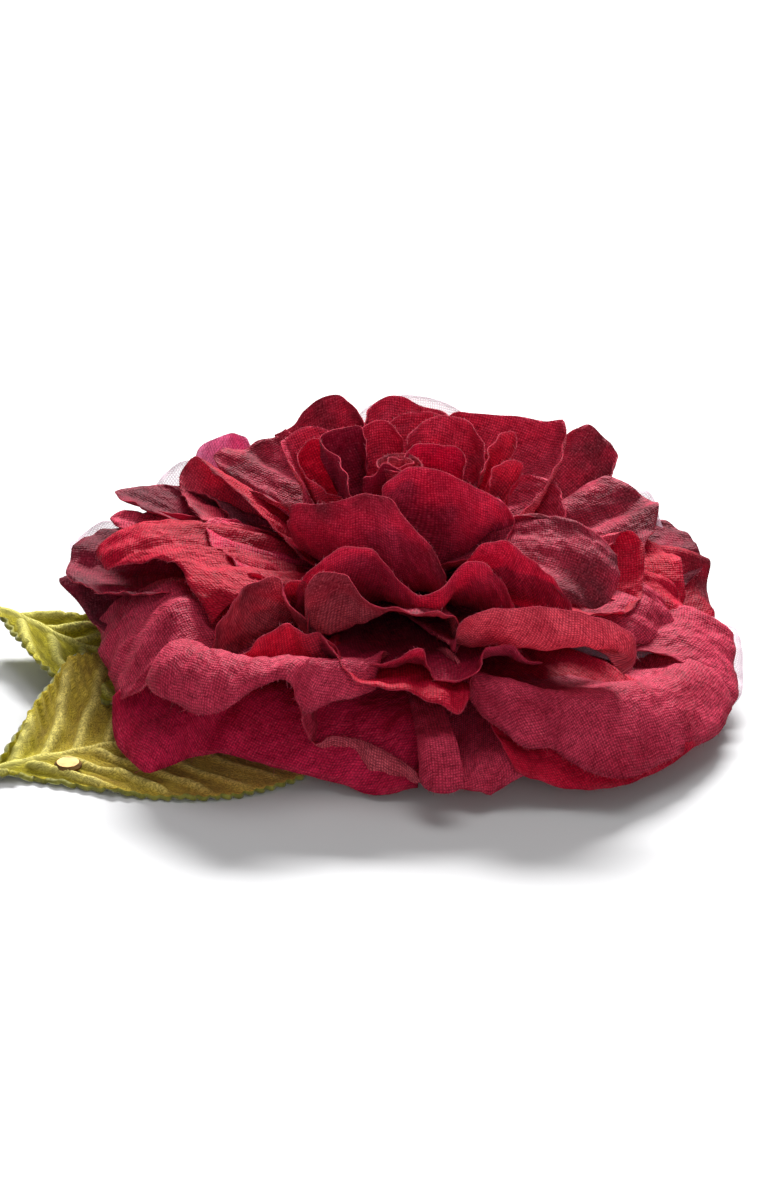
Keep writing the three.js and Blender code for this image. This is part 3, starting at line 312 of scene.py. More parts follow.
def smooth_curve(points, samples):
    """Evenly spaced points on a smooth curve through the given ones (centripetal Catmull-Rom)."""
    points = [np.asarray(p, float) for p in points]
    points = [2 * points[0] - points[1], *points, 2 * points[-1] - points[-2]]
    dense = []
    parts = 24  # of the way between two given points
    for p0, p1, p2, p3 in zip(points, points[1:], points[2:], points[3:]):
        t0 = 0.0
        t1 = t0 + math.sqrt(np.linalg.norm(p1 - p0))
        t2 = t1 + math.sqrt(np.linalg.norm(p2 - p1))
        t3 = t2 + math.sqrt(np.linalg.norm(p3 - p2))
        for part in range(parts):
            t = t1 + (t2 - t1) * part / parts
            a1 = (t1 - t) / (t1 - t0) * p0 + (t - t0) / (t1 - t0) * p1
            a2 = (t2 - t) / (t2 - t1) * p1 + (t - t1) / (t2 - t1) * p2
            a3 = (t3 - t) / (t3 - t2) * p2 + (t - t2) / (t3 - t2) * p3
            b1 = (t2 - t) / (t2 - t0) * a1 + (t - t0) / (t2 - t0) * a2
            b2 = (t3 - t) / (t3 - t1) * a2 + (t - t1) / (t3 - t1) * a3
            dense.append((t2 - t) / (t2 - t1) * b1 + (t - t1) / (t2 - t1) * b2)
    dense.append(points[-2])
    dense = np.array(dense)
    lengths = walked(dense)
    wanted = np.linspace(0, lengths[-1], samples)
    return np.stack([np.interp(wanted, lengths, dense[:, axis]) for axis in range(3)], -1)


def unit(vectors):
    return vectors / np.maximum(np.linalg.norm(vectors, axis=-1, keepdims=True), 1e-9)


def steps(grid, axis):
    """Distances from each point of a grid to the next, across it (0) or along it (1)."""
    return np.linalg.norm(np.diff(grid, axis=axis), axis=-1)


def walked(points):
    """Distance of each point of a line from its first one."""
    return np.concatenate([[0], np.cumsum(steps(points, 0))])


def spread(values, s):
    """One value, or a list of values at even places across the petal, read at each s."""
    values = values if isinstance(values, list) else [values]
    return np.interp(s, np.linspace(0, 1, len(values)), values)


def petal_grid(petal):
    """Points of the petal's middle surface: [across][along] from root to rim."""
    rim = smooth_curve([place(*point) for point in petal["rim"]], PETAL_ACROSS + 1)
    height, width = petal["root"]
    middle = rim[:, :2].mean(axis=0)
    facing = math.degrees(math.atan2(middle[1], middle[0]))
    root_turn = math.degrees(width / CORE_RADIUS)
    s = np.linspace(0, 1, PETAL_ACROSS + 1)
    turns = facing + root_turn * (s - 0.5)
    root = np.array([place(turn, CORE_RADIUS, height) for turn in turns])
    outward = unit((rim - root) * [1, 1, 0])
    leave = slope(outward, spread(petal["rise"], s))
    arrive = slope(outward, spread(petal["lean"], s))
    t = np.linspace(0, 1, PETAL_ALONG + 1)
    if "crest" not in petal:
        length = np.linalg.norm(rim - root, axis=1, keepdims=True)
        return hermite(root, leave * length, rim, arrive * length, t)

    shares, heights = zip(*petal["crest"])
    crest = root + (rim - root) * spread(list(shares), s)[:, None]
    crest[:, 2] = spread(list(heights), s)
    inner = np.linalg.norm(crest - root, axis=1, keepdims=True)
    outer = np.linalg.norm(rim - crest, axis=1, keepdims=True)
    turn_over = float((inner / (inner + outer)).mean())
    first = t[t <= turn_over] / turn_over
    second = (t[t > turn_over] - turn_over) / (1 - turn_over)
    bend = petal["bend"]
    over = slope(outward, spread(petal["arch"], s))
    lower = hermite(root, leave * inner, crest, over * inner * bend, first)
    upper = hermite(crest, outward * outer * bend, rim, arrive * outer, second)
    grid = np.concatenate([lower, upper], axis=1)
    for _ in range(CREST_SOFTENING):
        grid[:, 1:-1] = (grid[:, :-2] + 2 * grid[:, 1:-1] + grid[:, 2:]) / 4
    return grid


def slope(outward, degrees):
    """Unit directions that point outwards, raised by an angle each."""
    angle = np.radians(degrees)[:, None]
    return np.cos(angle) * outward + np.sin(angle) * np.array([0, 0, 1.0])


def hermite(start, leave, end, arrive, t):
    """Rows of cubic curves from start to end: [across][along]."""
    t = t[None, :, None]
    weights = [2 * t**3 - 3 * t**2 + 1, t**3 - 2 * t**2 + t, 3 * t**2 - 2 * t**3, t**3 - t**2]
    return sum(w * p[:, None, :] for w, p in zip(weights, [start, leave, end, arrive]))


def box_of(node):
    """A solid's lowest and highest corners."""
    return [np.array(corner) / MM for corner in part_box(node)]


def folds(x, y, kind, key):
    """Smooth noise over the cloth at a place, for one kind of fold."""
    return noise.noise(Vector((x / kind[0], y / kind[1], key + kind[2])))


def crumple(grid, pleats, ripple, key):
    """Pleats that fan out from the root, a rippled rim and fine creases, along the normals."""
    normal = unit(np.cross(np.gradient(grid, axis=1), np.gradient(grid, axis=0)))
    across, along = grid.shape[:2]
    rim_length = steps(grid[:, -1], 0).sum()
    length = steps(grid[across // 2], 0).sum()
    push = np.zeros((across, along))
    for i in range(across):
        x = i / (across - 1) * rim_length
        for j in range(along):
            t = j / (along - 1)
            y = t * length
            pleat = folds(x, y, FAN, key) + 0.4 * folds(x, y, FOLD, key)
            inner = 1 - abs(2 * t - 0.9) ** 2
            wave = folds(x, y, WAVE, key)
            crease = folds(x, y, CREASE, key)
            slant = folds(x + y, x - y, SLANT, key)
            push[i, j] = pleats * pleat * (0.35 + 0.65 * inner)
            push[i, j] += ripple * wave * t**4 + CREASE_DEPTH * crease + SLANT_DEPTH * slant
    moved = grid + normal * push[..., None]
    moved[..., 2] = np.maximum(moved[..., 2], FLOOR_CLEARANCE)
    return moved


def new_mesh(name, points, faces):
    mesh = bpy.data.meshes.new(name)
    mesh.from_pydata((np.array(points) * MM).tolist(), [], faces)
    mesh.shade_smooth()
    return mesh


def sheet_mesh(name, grid, marks):
    """A one-layer mesh over the grid, with texture coordinates at the cloth's own scale."""
    across, along = grid.shape[:2]
    index = np.arange(across * along).reshape(across, along)
    corners = [index[:-1, :-1], index[:-1, 1:], index[1:, 1:], index[1:, :-1]]
    faces = np.stack(corners, -1).reshape(-1, 4)
    mesh = new_mesh(name, grid.reshape(-1, 3), faces.tolist())

    widths = steps(grid, 0).sum(axis=0)
    climbed = np.concatenate([np.zeros((across, 1)), np.cumsum(steps(grid, 1), axis=1)], axis=1)
    s = np.linspace(-0.5, 0.5, across)[:, None]
    u = s * widths[None, :]
    uv = np.stack([u, climbed], -1).reshape(-1, 2) / UV_SPAN + 0.5
    layer = mesh.uv_layers.new(name="cloth")
    loop_points = np.empty(len(mesh.loops), np.int32)
    mesh.loops.foreach_get("vertex_index", loop_points)
    layer.data.foreach_set("uv", uv[loop_points].ravel())
    for mark, values in marks.items():
        attribute = mesh.attributes.new(mark, "FLOAT", "POINT")
        attribute.data.foreach_set("value", np.asarray(values, np.float32).ravel())
    return mesh


def add_object(name, data, *finishes):
    piece = bpy.data.objects.new(name, data)
    bpy.context.scene.collection.objects.link(piece)
    for finish in finishes:
        data.materials.append(finish)
    return piece


def thicken(piece, thickness, faces=3):
    """Gives a sheet its two faces and its cut edge, each with a finish of its own."""
    solid = piece.modifiers.new("thickness", "SOLIDIFY")
    solid.thickness = thickness * MM
    solid.offset = 0
    solid.use_even_offset = False
    if faces == 3:
        solid.material_offset = 1
        solid.material_offset_rim = 2


# ---- Finishes ----
WAVE_BANDS = 20  # a wave texture's phase in radians over one unit, at a scale of one


class Finish:
    """A material's node tree, built by name."""

    def __init__(self, name):
        self.material = bpy.data.materials.new(name)
        self.material.use_nodes = True
        self.tree = self.material.node_tree
        self.tree.nodes.clear()
        self.output = self.tree.nodes.new("ShaderNodeOutputMaterial")

    def node(self, kind, inputs=None, **settings):
        made = self.tree.nodes.new("ShaderNode" + kind)
        for name, value in settings.items():
            setattr(made, name, value)
        for socket, value in (inputs or {}).items():
            if isinstance(value, bpy.types.NodeSocket):
                self.tree.links.new(value, made.inputs[socket])
            else:
                made.inputs[socket].default_value = value
        return made

    def mark(self, name):
        return self.node("Attribute", attribute_name=name).outputs["Fac"]

    def cloth(self):
        return self.node("UVMap", uv_map="cloth").outputs["UV"]

    def math(self, operation, a, b=0.0, c=0.0):
        return self.node("Math", {0: a, 1: b, 2: c}, operation=operation).outputs[0]

    def scaled(self, value, by, plus):
        return self.math("MULTIPLY_ADD", value, by, plus)

    def bump(self, height, strength, depth):
        """Normals bent by a relief that is depth millimetres deep."""
        settings = {"Height": height, "Strength": strength, "Distance": depth * MM}
        return self.node("Bump", settings).outputs[0]

    def mix(self, factor, a, b, blend="MIX"):
        made = self.node("MixRGB", {"Fac": factor, "Color1": a, "Color2": b}, blend_type=blend)
        return made.outputs[0]

    def ramp(self, value, *stops):
        made = self.node("ValToRGB", {"Fac": value})
        elements = made.color_ramp.elements
        while len(elements) < len(stops):
            elements.new(0.5)
        for element, (position, colour) in zip(elements, stops):
            element.position = position
            element.color = colour
        return made.outputs["Color"]

    def noise(self, where, scale, detail=3.0, roughness=0.55):
        settings = {"Vector": where, "Scale": scale, "Detail": detail, "Roughness": roughness}
        return self.node("TexNoise", settings).outputs["Fac"]

    def threads(self, where, pitch, direction):
        """Bands of one thread each, pitch apart in millimetres of cloth."""
        scale = 2 * math.pi / WAVE_BANDS / (pitch / UV_SPAN)
        settings = {"Vector": where, "Scale": scale, "Distortion": 0.6, "Detail": 1.0,
                    "Detail Scale": 0.05}
        return self.node("TexWave", settings, bands_direction=direction).outputs["Fac"]

    def clamped(self, value):
        return self.node("Clamp", {"Value": value}).outputs[0]

    def show(self, shader):
        self.tree.links.new(shader.outputs[0], self.output.inputs["Surface"])
        return self.material


def rgb(red, green, blue):
    """Linear colour from its screen values, 0 to 255."""
    values = [channel / 255 for channel in (red, green, blue)]
    linear = [v / 12.92 if v <= 0.04045 else ((v + 0.055) / 1.055) ** 2.4 for v in values]
    return (*linear, 1.0)


THREAD_PITCH = 0.52  # of the silk's weave
THREAD_GLINT = rgb(232, 150, 160)
RIM_PINK = rgb(204, 92, 110)
RIM_DARK = rgb(84, 16, 30)
# Painted shade: the colour each petal darkens to at its root, where the petals crowd together.
ROOT_SHADE = rgb(72, 0, 16)
TRANSMITTED = rgb(232, 62, 118)  # light that has passed through the cloth
ORGANZA_PITCH = 0.5

# Noise scales in cloth texture space, from broad to fine.
BLOTCHES = 10
FRAYS = 16
FOLDS = 22
CRINKLES = 40
MOTTLE = 80
SLUBS = 230


def silk(name, deep, lit, roughness, sheen, weave, glow):
    """Woven silk: mottled dye, two sets of threads, a darker dyed tip and a paler cut rim."""
    f = Finish(name)
    cloth = f.cloth()
    warp = f.threads(cloth, THREAD_PITCH, "X")
    weft = f.threads(cloth, THREAD_PITCH, "Y")
    threads = f.math("ADD", warp, weft)
    slub = f.noise(cloth, SLUBS, 3.0, 0.7)

    # Blotched dye, with painted shade darkening it towards the root, and darker between the threads.
    dyed = f.ramp(f.noise(cloth, BLOTCHES, 5.0, 0.6), (0.34, deep), (0.66, lit))
    root_shaded = f.mix(f.mark("root"), dyed, ROOT_SHADE)
    uneven = f.scaled(slub, 2.6, f.scaled(f.noise(cloth, MOTTLE, 4.0, 0.65), 1.4, -2.3))
    woven = f.scaled(f.math("MULTIPLY", warp, weft), 1.2, uneven)
    grain = f.math("MAXIMUM", f.scaled(woven, weave, 1.0), 0.15)
    shaded = f.mix(1.0, root_shaded, grain, "MULTIPLY")

    # Ashen dye at the tip, glints on single threads, and the frayed rim.
    ash = f.ramp(slub, (0.42, rgb(30, 10, 17)), (0.62, rgb(104, 42, 52)))
    dusted = f.mix(f.mark("dust"), shaded, ash)
    glints = f.math("MULTIPLY", f.scaled(slub, 6.0, -3.3), threads)
    glinting = f.mix(f.clamped(f.math("MULTIPLY", glints, 0.22 * weave)), dusted, THREAD_GLINT)
    frayed = f.ramp(f.noise(cloth, FRAYS, 3.0, 0.6), (0.44, RIM_DARK), (0.56, RIM_PINK))
    rim = f.math("MULTIPLY", f.mark("rim"), f.scaled(slub, 3.0, -1.1))
    coloured = f.mix(f.clamped(rim), glinting, frayed)

    # Relief of the threads, of soft crinkles and of sharp little folds.
    height = f.math("ADD", threads, f.math("MULTIPLY", slub, 2.0))
    sharp = f.math("ABSOLUTE", f.scaled(f.noise(cloth, FOLDS, 3.0, 0.5), 2.0, -1.0))
    crinkles = f.noise(cloth, CRINKLES, 6.0, 0.6)
    relief = f.scaled(crinkles, 10.0, f.scaled(sharp, -20.0, height))
    normal = f.bump(relief, 0.5, 0.09)
    skin = f.node("BsdfPrincipled", {
        "Base Color": coloured, "Roughness": roughness, "Specular IOR Level": 0.1,
        "Sheen Weight": sheen, "Sheen Roughness": 0.4, "Sheen Tint": rgb(255, 140, 156),
        "Normal": normal,
    })
    warmed = f.mix(0.45, coloured, TRANSMITTED)
    through = f.node("BsdfTranslucent", {"Color": warmed, "Normal": normal})
    mixed = f.node("MixShader", {"Fac": glow, 1: skin.outputs[0], 2: through.outputs[0]})
    return f.show(mixed)


def organza(name):
    """Sheer stiff organza: a fine open mesh of lilac threads."""
    f = Finish(name)
    cloth = f.cloth()
    tint = f.ramp(f.noise(cloth, 6.0), (0.35, rgb(206, 178, 192)), (0.7, rgb(178, 128, 150)))
    warp = f.threads(cloth, ORGANZA_PITCH, "X")
    weft = f.threads(cloth, ORGANZA_PITCH, "Y")
    cover = f.scaled(f.math("MAXIMUM", warp, weft), 0.25, 0.12)
    edged = f.scaled(f.mark("rim"), 0.4, cover)
    skin = f.node("BsdfPrincipled", {
        "Base Color": tint, "Roughness": 0.4, "Sheen Weight": 0.4,
        "Sheen Tint": rgb(255, 235, 245), "Alpha": edged,
    })
    return f.show(skin)


def velvet(name):
    """Crushed velvet: painted highlight on the veins, painted shade in the hollows, browner at the leaf's
    base.
    """
    f = Finish(name)
    cloth = f.cloth()
    pile = f.noise(cloth, 60.0, 6.0, 0.7)
    crushed = f.noise(cloth, 14.0, 4.0, 0.6)
    ground = f.ramp(crushed, (0.3, rgb(128, 116, 10)), (0.5, rgb(180, 168, 34)),
                    (0.72, rgb(220, 208, 80)))
    # Painted highlight along the raised veins.
    vein_highlighted = f.mix(f.mark("vein_highlight"), ground, rgb(236, 228, 140))
    # Painted shade in the hollows between the veins.
    shaded = f.mix(f.mark("hollow_shade"), vein_highlighted, rgb(96, 90, 4))
    browned = f.mix(f.mark("base"), shaded, rgb(224, 160, 96))
    hairs = f.noise(cloth, SLUBS, 2.0, 0.7)
    hair_tone = f.ramp(hairs, (0.4, rgb(90, 92, 60)), (0.6, rgb(255, 255, 240)))
    pile_tone = f.ramp(pile, (0.34, rgb(96, 98, 66)), (0.62, rgb(255, 255, 235)))
    piled = f.mix(0.6, browned, hair_tone, "MULTIPLY")
    speckled = f.mix(0.35, piled, pile_tone, "MULTIPLY")
    relief = f.math("ADD", hairs, f.math("MULTIPLY", pile, 2.0))
    normal = f.bump(relief, 0.7, 0.25)
    skin = f.node("BsdfPrincipled", {
        "Base Color": speckled, "Roughness": 0.95, "Specular IOR Level": 0.1,
        "Sheen Weight": 0.12, "Sheen Roughness": 0.5, "Sheen Tint": rgb(250, 236, 150),
        "Normal": normal,
    })
    return f.show(skin)


def fibrous(name, dark, pale, scale, depth, sheen=0.2):
    """Felt, buckram, lining, tape or thread: matt fibres in two close colours."""
    f = Finish(name)
    spot = f.node("TexCoord").outputs["Object"]
    fibres = f.noise(spot, scale, 6.0, 0.7)
    clumps = f.noise(spot, scale / 6, 3.0)
    blend = f.scaled(clumps, 0.5, f.math("MULTIPLY", fibres, 0.5))
    colour = f.ramp(blend, (0.35, dark), (0.65, pale))
    normal = f.bump(fibres, 0.6, depth)
    skin = f.node("BsdfPrincipled", {
        "Base Color": colour, "Roughness": 0.95, "Specular IOR Level": 0.15,
        "Sheen Weight": sheen, "Sheen Roughness": 0.5, "Normal": normal,
    })
    return f.show(skin)


def metal(name, dark, pale, roughness, streak):
    """Plated sheet metal: brushed along X, with a little tarnish."""
    f = Finish(name)
    spot = f.node("TexCoord").outputs["Object"]
    drawn = f.node("Mapping", {"Vector": spot, "Scale": (60, streak, streak)}).outputs[0]
    grain = f.noise(drawn, 30.0, 5.0, 0.7)
    tarnish = f.noise(spot, 350.0, 4.0)
    colour = f.ramp(f.scaled(tarnish, 0.6, f.math("MULTIPLY", grain, 0.4)),
                    (0.35, dark), (0.62, pale))
    gloss = f.scaled(grain, 0.22, roughness)
    normal = f.bump(grain, 0.25, 0.03)
    skin = f.node("BsdfPrincipled", {
        "Base Color": colour, "Roughness": gloss, "Metallic": 1.0, "Normal": normal,
    })
    return f.show(skin)


# Each silk's glossy inner face and matt outer face: dark and bright dye, roughness, sheen,
# strength of the weave, and share of the light that comes through.
SILK_FACES = {
    "wine": [(rgb(164, 10, 48), rgb(208, 34, 80), 0.55, 0.04, 0.75, 0.42),
             (rgb(158, 24, 56), rgb(202, 52, 88), 0.65, 0.08, 0.8, 0.38)],
    "rose": [(rgb(158, 26, 54), rgb(200, 58, 88), 0.6, 0.04, 0.9, 0.4),
             (rgb(166, 48, 66), rgb(208, 88, 104), 0.65, 0.06, 0.95, 0.36)],
    "scarlet": [(rgb(166, 2, 36), rgb(198, 18, 56), 0.6, 0.0, 0.7, 0.42),
                (rgb(174, 26, 54), rgb(212, 58, 86), 0.6, 0.06, 0.8, 0.38)],
    "dusk": [(rgb(112, 4, 34), rgb(158, 28, 60), 0.65, 0.0, 0.6, 0.3),
             (rgb(100, 4, 30), rgb(146, 24, 56), 0.7, 0.0, 0.6, 0.25)],
    "lilac": [(rgb(200, 100, 146), rgb(226, 156, 196), 0.6, 0.1, 0.6, 0.55),
              (rgb(196, 98, 142), rgb(222, 150, 190), 0.7, 0.1, 0.6, 0.55)],
}
SILKS = {
    dye: [silk(f"silk_{dye}_{side}", *look) for side, look in zip(("face", "back"), looks)]
    for dye, looks in SILK_FACES.items()
}
CUT_EDGE = fibrous("silk_cut_edge", rgb(90, 6, 24), rgb(190, 40, 66), 5000.0, 0.05, 0.0)
ORGANZA = organza("organza_sheer")


# ---- Flower ----
RIM_BAND = 0.45  # width of the frayed rim
RIM_WEIGHT = 0.5
# strength of the painted shade at each petal's root
ROOT_SHADE_WEIGHT = 0.92


def petal_marks(grid, dust, dye_fade):
    """How much of each point is rim, how much the darker dyed tip and how much painted shade at the root.
    """
    lengths = steps(grid, 1)
    left = np.concatenate([np.cumsum(lengths[:, ::-1], axis=1)[:, ::-1],
                           np.zeros((grid.shape[0], 1))], axis=1)
    rim = np.clip(1 - left / RIM_BAND, 0, 1) * RIM_WEIGHT
    tip = np.zeros(grid.shape[:2])
    if dust:
        reach = dust * lengths.sum(axis=1, keepdims=True)
        tip = np.clip(1.15 - left / np.maximum(reach, 1e-6), 0, 1) ** 1.3 * 0.8
        for i in range(grid.shape[0]):
            for j in range(grid.shape[1]):
                broad = noise.noise(Vector(grid[i, j] * 0.16))
                cloud = broad + 0.5 * noise.noise(Vector(grid[i, j] * 0.5))
                tip[i, j] *= min(1, max(0, 0.75 + 1.1 * cloud))
    to_rim = 1 - np.linspace(0, 1, grid.shape[1])[None, :]
    # Painted shade, darkest at the root where the petals crowd over each other, fading towards the rim.
    root = ROOT_SHADE_WEIGHT * to_rim**dye_fade * np.ones((grid.shape[0], 1))
    return {"rim": rim, "dust": tip, "root": root}


def make_petal(name, petal, key):
    """One petal's cloth, which stands for the solid of its name; returns its grid."""
    sheer = petal["silk"] == "organza"
    grid = crumple(petal_grid(petal), petal["pleats"], RIPPLE, key)
    marks = petal_marks(grid, petal["dust"], petal["dye_fade"])
    mesh = sheet_mesh(name + "_cloth", grid, marks)
    if sheer:
        piece = add_object(name + "_cloth", mesh, ORGANZA)
        thicken(piece, ORGANZA_THICKNESS, faces=1)
    else:
        piece = add_object(name + "_cloth", mesh, *SILKS[petal["silk"]], CUT_EDGE)
        thicken(piece, PETAL_THICKNESS)
    if not petal["tuck"]:
        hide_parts(name)
    declare_cloth(piece)
    return grid


def declare_cloth(piece):
    """Says what the piece rides on: the flower's body."""
    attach(piece, FLOWER)


ASKEW = [0.31, 0.52, 0.79]  # a direction that no thread runs along


def thread_tube(points, radius, sides=3, end=0.5):
    """A thin closed tube along a few points, tapered to a share of its radius at its end."""
    points = np.array(points)
    along = unit(np.gradient(points, axis=0))
    side = unit(np.cross(along, ASKEW))
    other = np.cross(along, side)
    turns = 2 * math.pi * np.arange(sides) / sides
    ring = np.cos(turns)[None, :, None] * side[:, None] + np.sin(turns)[None, :, None] * other[:, None]
    taper = np.linspace(1, end, len(points))[:, None, None]
    vertices = (points[:, None] + radius * taper * ring).reshape(-1, 3)
    faces = []
    for k in range(len(points) - 1):
        for n in range(sides):
            a = k * sides + n
            b = k * sides + (n + 1) % sides
            faces.append((a, b, b + sides, a + sides))
    last = (len(points) - 1) * sides
    faces.append(tuple(range(sides))[::-1])
    faces.append(tuple(last + n for n in range(sides)))
    return vertices, faces


LONG_THREADS = 0.04  # share of the loose threads that are long, and how much longer
LONG_BY = 2.4
THREAD_SLANT = 0.6  # spreads of the threads' directions
THREAD_LIFT = 0.3
THREAD_CURL = 0.5
THREAD_ROOT = 0.15  # how far a thread starts inside the rim


def make_fraying(name, grids, finish, spacing, lengths, radius):
    """Loose threads along the cut rims, each with its own length, slant and curl."""
    vertices = []
    faces = []
    for grid in grids:
        rim = grid[:, -1]
        outward = unit(grid[:, -1] - grid[:, -3])
        along = unit(np.gradient(rim, axis=0))
        places = walked(rim)
        at = random.uniform(0, spacing)
        while at < places[-1]:
            i = min(int(np.searchsorted(places, at)), len(rim) - 1)
            length = random.uniform(*lengths) * (LONG_BY if random.random() < LONG_THREADS else 1)
            slant = random.gauss(0, THREAD_SLANT)
            lift = np.array([random.gauss(0, THREAD_LIFT) for _ in range(3)])
            way = unit(outward[i] + slant * along[i] + lift)
            curl = np.array([random.gauss(0, THREAD_CURL) for _ in range(3)])
            start = np.array([np.interp(at, places, rim[:, axis]) for axis in range(3)])
            start = start - THREAD_ROOT * outward[i]
            points = []
            for k in range(4):
                point = start + length * (k / 3) * way + length * (k / 3) ** 2 * 0.5 * curl
                points.append([point[0], point[1], max(point[2], THREAD_CLEARANCE)])
            tube, quads = thread_tube(points, radius)
            base = len(vertices)
            vertices.extend(tube)
            faces.extend(tuple(base + k for k in quad) for quad in quads)
            at += random.uniform(0.3, 1.7) * spacing
    piece = add_object(name, new_mesh(name, vertices, faces), finish)
    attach(piece, FLOWER)


def make_bud_roll():
    """The rolled strip at the bud's heart, its ragged upper edge curling outwards."""
    low, high = box_of("bud_roll")
    centre = (low + high) / 2
    bottom = low[2]
    top = high[2]
    turns = 2.3
    inner = 0.7  # radii of the roll
    outer = 3.9
    across = 150
    along = 30
    grid = np.zeros((across + 1, along + 1, 3))
    for i in range(across + 1):
        s = i / across
        angle = 2 * math.pi * turns * s
        edge = top - 1.2 * s + 0.9 * noise.noise(Vector((s * 9, 2, 4)))
        for j in range(along + 1):
            t = j / along
            flare = 1 + 0.35 * t**5 + 0.1 * noise.noise(Vector((s * 7, t * 2, 8)))
            radius = (inner + (outer - inner) * s) * flare
            swing = angle + 0.25 * t
            grid[i, j] = [centre[0] + radius * math.cos(swing), centre[1] + radius * math.sin(swing),
                          bottom + (edge - bottom) * t]
    grid = crumple(grid, 0.25, 0.5, 91.0)
    mesh = sheet_mesh("bud_roll_cloth", grid, petal_marks(grid, 0.12, PETAL_DEFAULTS["dye_fade"]))
    piece = add_object("bud_roll_cloth", mesh, *SILKS["rose"][::-1], CUT_EDGE)
    thicken(piece, PETAL_THICKNESS)
    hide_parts("bud_roll")
    declare_cloth(piece)
    return grid


# ---- Leaves ----
# midrib: the four points of a Bezier curve, from the base to the tip. halves: widths left
# and right of it. droop: (distance from the flower's axis, height) of the cloth. lift: how
# far the left and the right edge rise. browned: how far the brown of the base reaches.
LEAF_TIP = 1.5
LEAF_THICKNESS = 0.9
LEAF_ACROSS = 96
LEAF_ALONG = 190
TOOTH_PITCH = 2.0  # of the leaf's cut edge
TOOTH_DEPTH = 0.9
VEIN_PITCH = 6
VEIN_SLANT = 0.75  # how far a vein falls back to the base for its way out, before it curves
VEIN_CURVE = 0.006
VEIN_STAGGER = 3.5  # between the veins of the two halves
VEIN_WIDTH = 0.7
SPINE_WIDTH = 0.9
VEIN_HEIGHT = 0.9
HOLLOW_DEPTH = 0.9
RUMPLE_HEIGHT = 0.8
FREE_FROM = 50  # distance from the axis where the leaf comes out from under the petals
FREE_OVER = 12
LEAVES = {
    "lower_leaf": dict(
        midrib=[(-13, -14), (-30, -24), (-51, -32), (-73, -43)], halves=(26, 28),
        droop=[(20, 9.6), (28, 8), (42, 0.8), (90, 0.8)], lift=(0, 11), browned=0.75,
    ),
    "upper_leaf": dict(
        midrib=[(-13, 1), (-34, -5), (-56, -3), (-76, 11)], halves=(21, 26),
        droop=[(20, 10.4), (34, 9.5), (56, 3.5), (78, 7.5)], lift=(0, 0.8), browned=0.2,
    ),
}


def bezier(points, t):
    a, b, c, d = (np.array(p, float) for p in points)
    u = 1 - t
    return u**3 * a + 3 * u * u * t * b + 3 * u * t * t * c + t**3 * d


def droop_height(droop, radius):
    """Height of the leaf's cloth at a distance from the flower's axis, eased between places."""
    for (r0, z0), (r1, z1) in zip(droop, droop[1:]):
        if radius <= r1:
            share = min(1, max(0, (radius - r0) / (r1 - r0)))
            return z0 + (z1 - z0) * share * share * (3 - 2 * share)
    return droop[-1][1]


def leaf_sheet(leaf):
    """The leaf's grid and marks: painted highlight on the veins, painted shade in the hollows between
    them, browned base.
    """
    across = LEAF_ACROSS + 1
    along = LEAF_ALONG + 1
    grid = np.zeros((across, along, 3))
    vein_highlight, hollow_shade, base = (np.zeros((across, along)) for _ in range(3))
    ts = np.linspace(0, 1, along)
    spine = np.array([[*bezier(leaf["midrib"], t), 0] for t in ts])
    run = walked(spine)
    heading = unit(np.gradient(spine, axis=0))
    side = unit(np.stack([-heading[:, 1], heading[:, 0], 0 * heading[:, 0]], -1))
    for j, t in enumerate(ts):
        pointed = 0.85 + 0.8 * t**4
        outline = math.sin(math.pi * min(1, 0.06 + 0.93 * t) ** 0.85) ** pointed
        to_tip = min(1, (1 - t) / 0.45)
        tooth = TOOTH_DEPTH * abs(math.sin(math.pi * run[j] / TOOTH_PITCH))
        tooth += 0.2 * noise.noise(Vector((run[j], 3, 1)))
        for i in range(across):
            s = 2 * i / (across - 1) - 1
            side_number = 1 if s > 0 else 0
            half = LEAF_TIP + (leaf["halves"][side_number] - LEAF_TIP) * outline
            reach = half + tooth
            offset = abs(s) * reach
            place_along = run[j] + VEIN_SLANT * offset - VEIN_CURVE * offset**2
            wander = 1.3 * noise.noise(Vector((offset * 0.12, run[j] * 0.08, 2 + s)))
            phase = ((place_along + wander + (VEIN_STAGGER if s > 0 else 0)) / VEIN_PITCH) % 1
            gap = min(phase, 1 - phase) * VEIN_PITCH
            ridge = math.exp(-((gap / VEIN_WIDTH) ** 2)) * min(1, offset / 2)
            spine_ridge = math.exp(-((offset / SPINE_WIDTH) ** 2))
            fade = min(1, (1 - abs(s)) / 0.12) if abs(s) > 0.88 else 1
            lines = max(ridge * fade, spine_ridge)
            puff = math.sin(math.pi * phase) ** 2 * min(1, offset / 5)
            rumple = noise.noise(Vector((s * half * 0.22, run[j] * 0.22, 5)))
            lift = leaf["lift"][side_number] * s * s * to_tip
            point = spine[j] - side[j] * (s * reach)
            distance = math.hypot(point[0], point[1])
            free = min(1, max(0.25, (distance - FREE_FROM) / FREE_OVER))
            relief = VEIN_HEIGHT * lines - HOLLOW_DEPTH * puff * fade + RUMPLE_HEIGHT * rumple
            height = droop_height(leaf["droop"], distance) + free * (relief + lift)
            grid[i, j] = point + [0, 0, height]
            # painted highlight on the raised veins
            vein_highlight[i, j] = 0.75 * lines
            patches = 0.6 + 0.6 * noise.noise(Vector((s * 9, run[j] * 0.3, 9)))
            # painted shade in the hollows between the veins
            hollow_shade[i, j] = 0.6 * puff * fade * patches
            base[i, j] = max(0, min(1, 1.25 - t / leaf["browned"])) * 0.85
    grid[..., 2] = np.maximum(grid[..., 2], LEAF_THICKNESS / 2 + 0.1)
    return grid, {"vein_highlight": vein_highlight, "hollow_shade": np.clip(hollow_shade, 0, 1), "base": base}


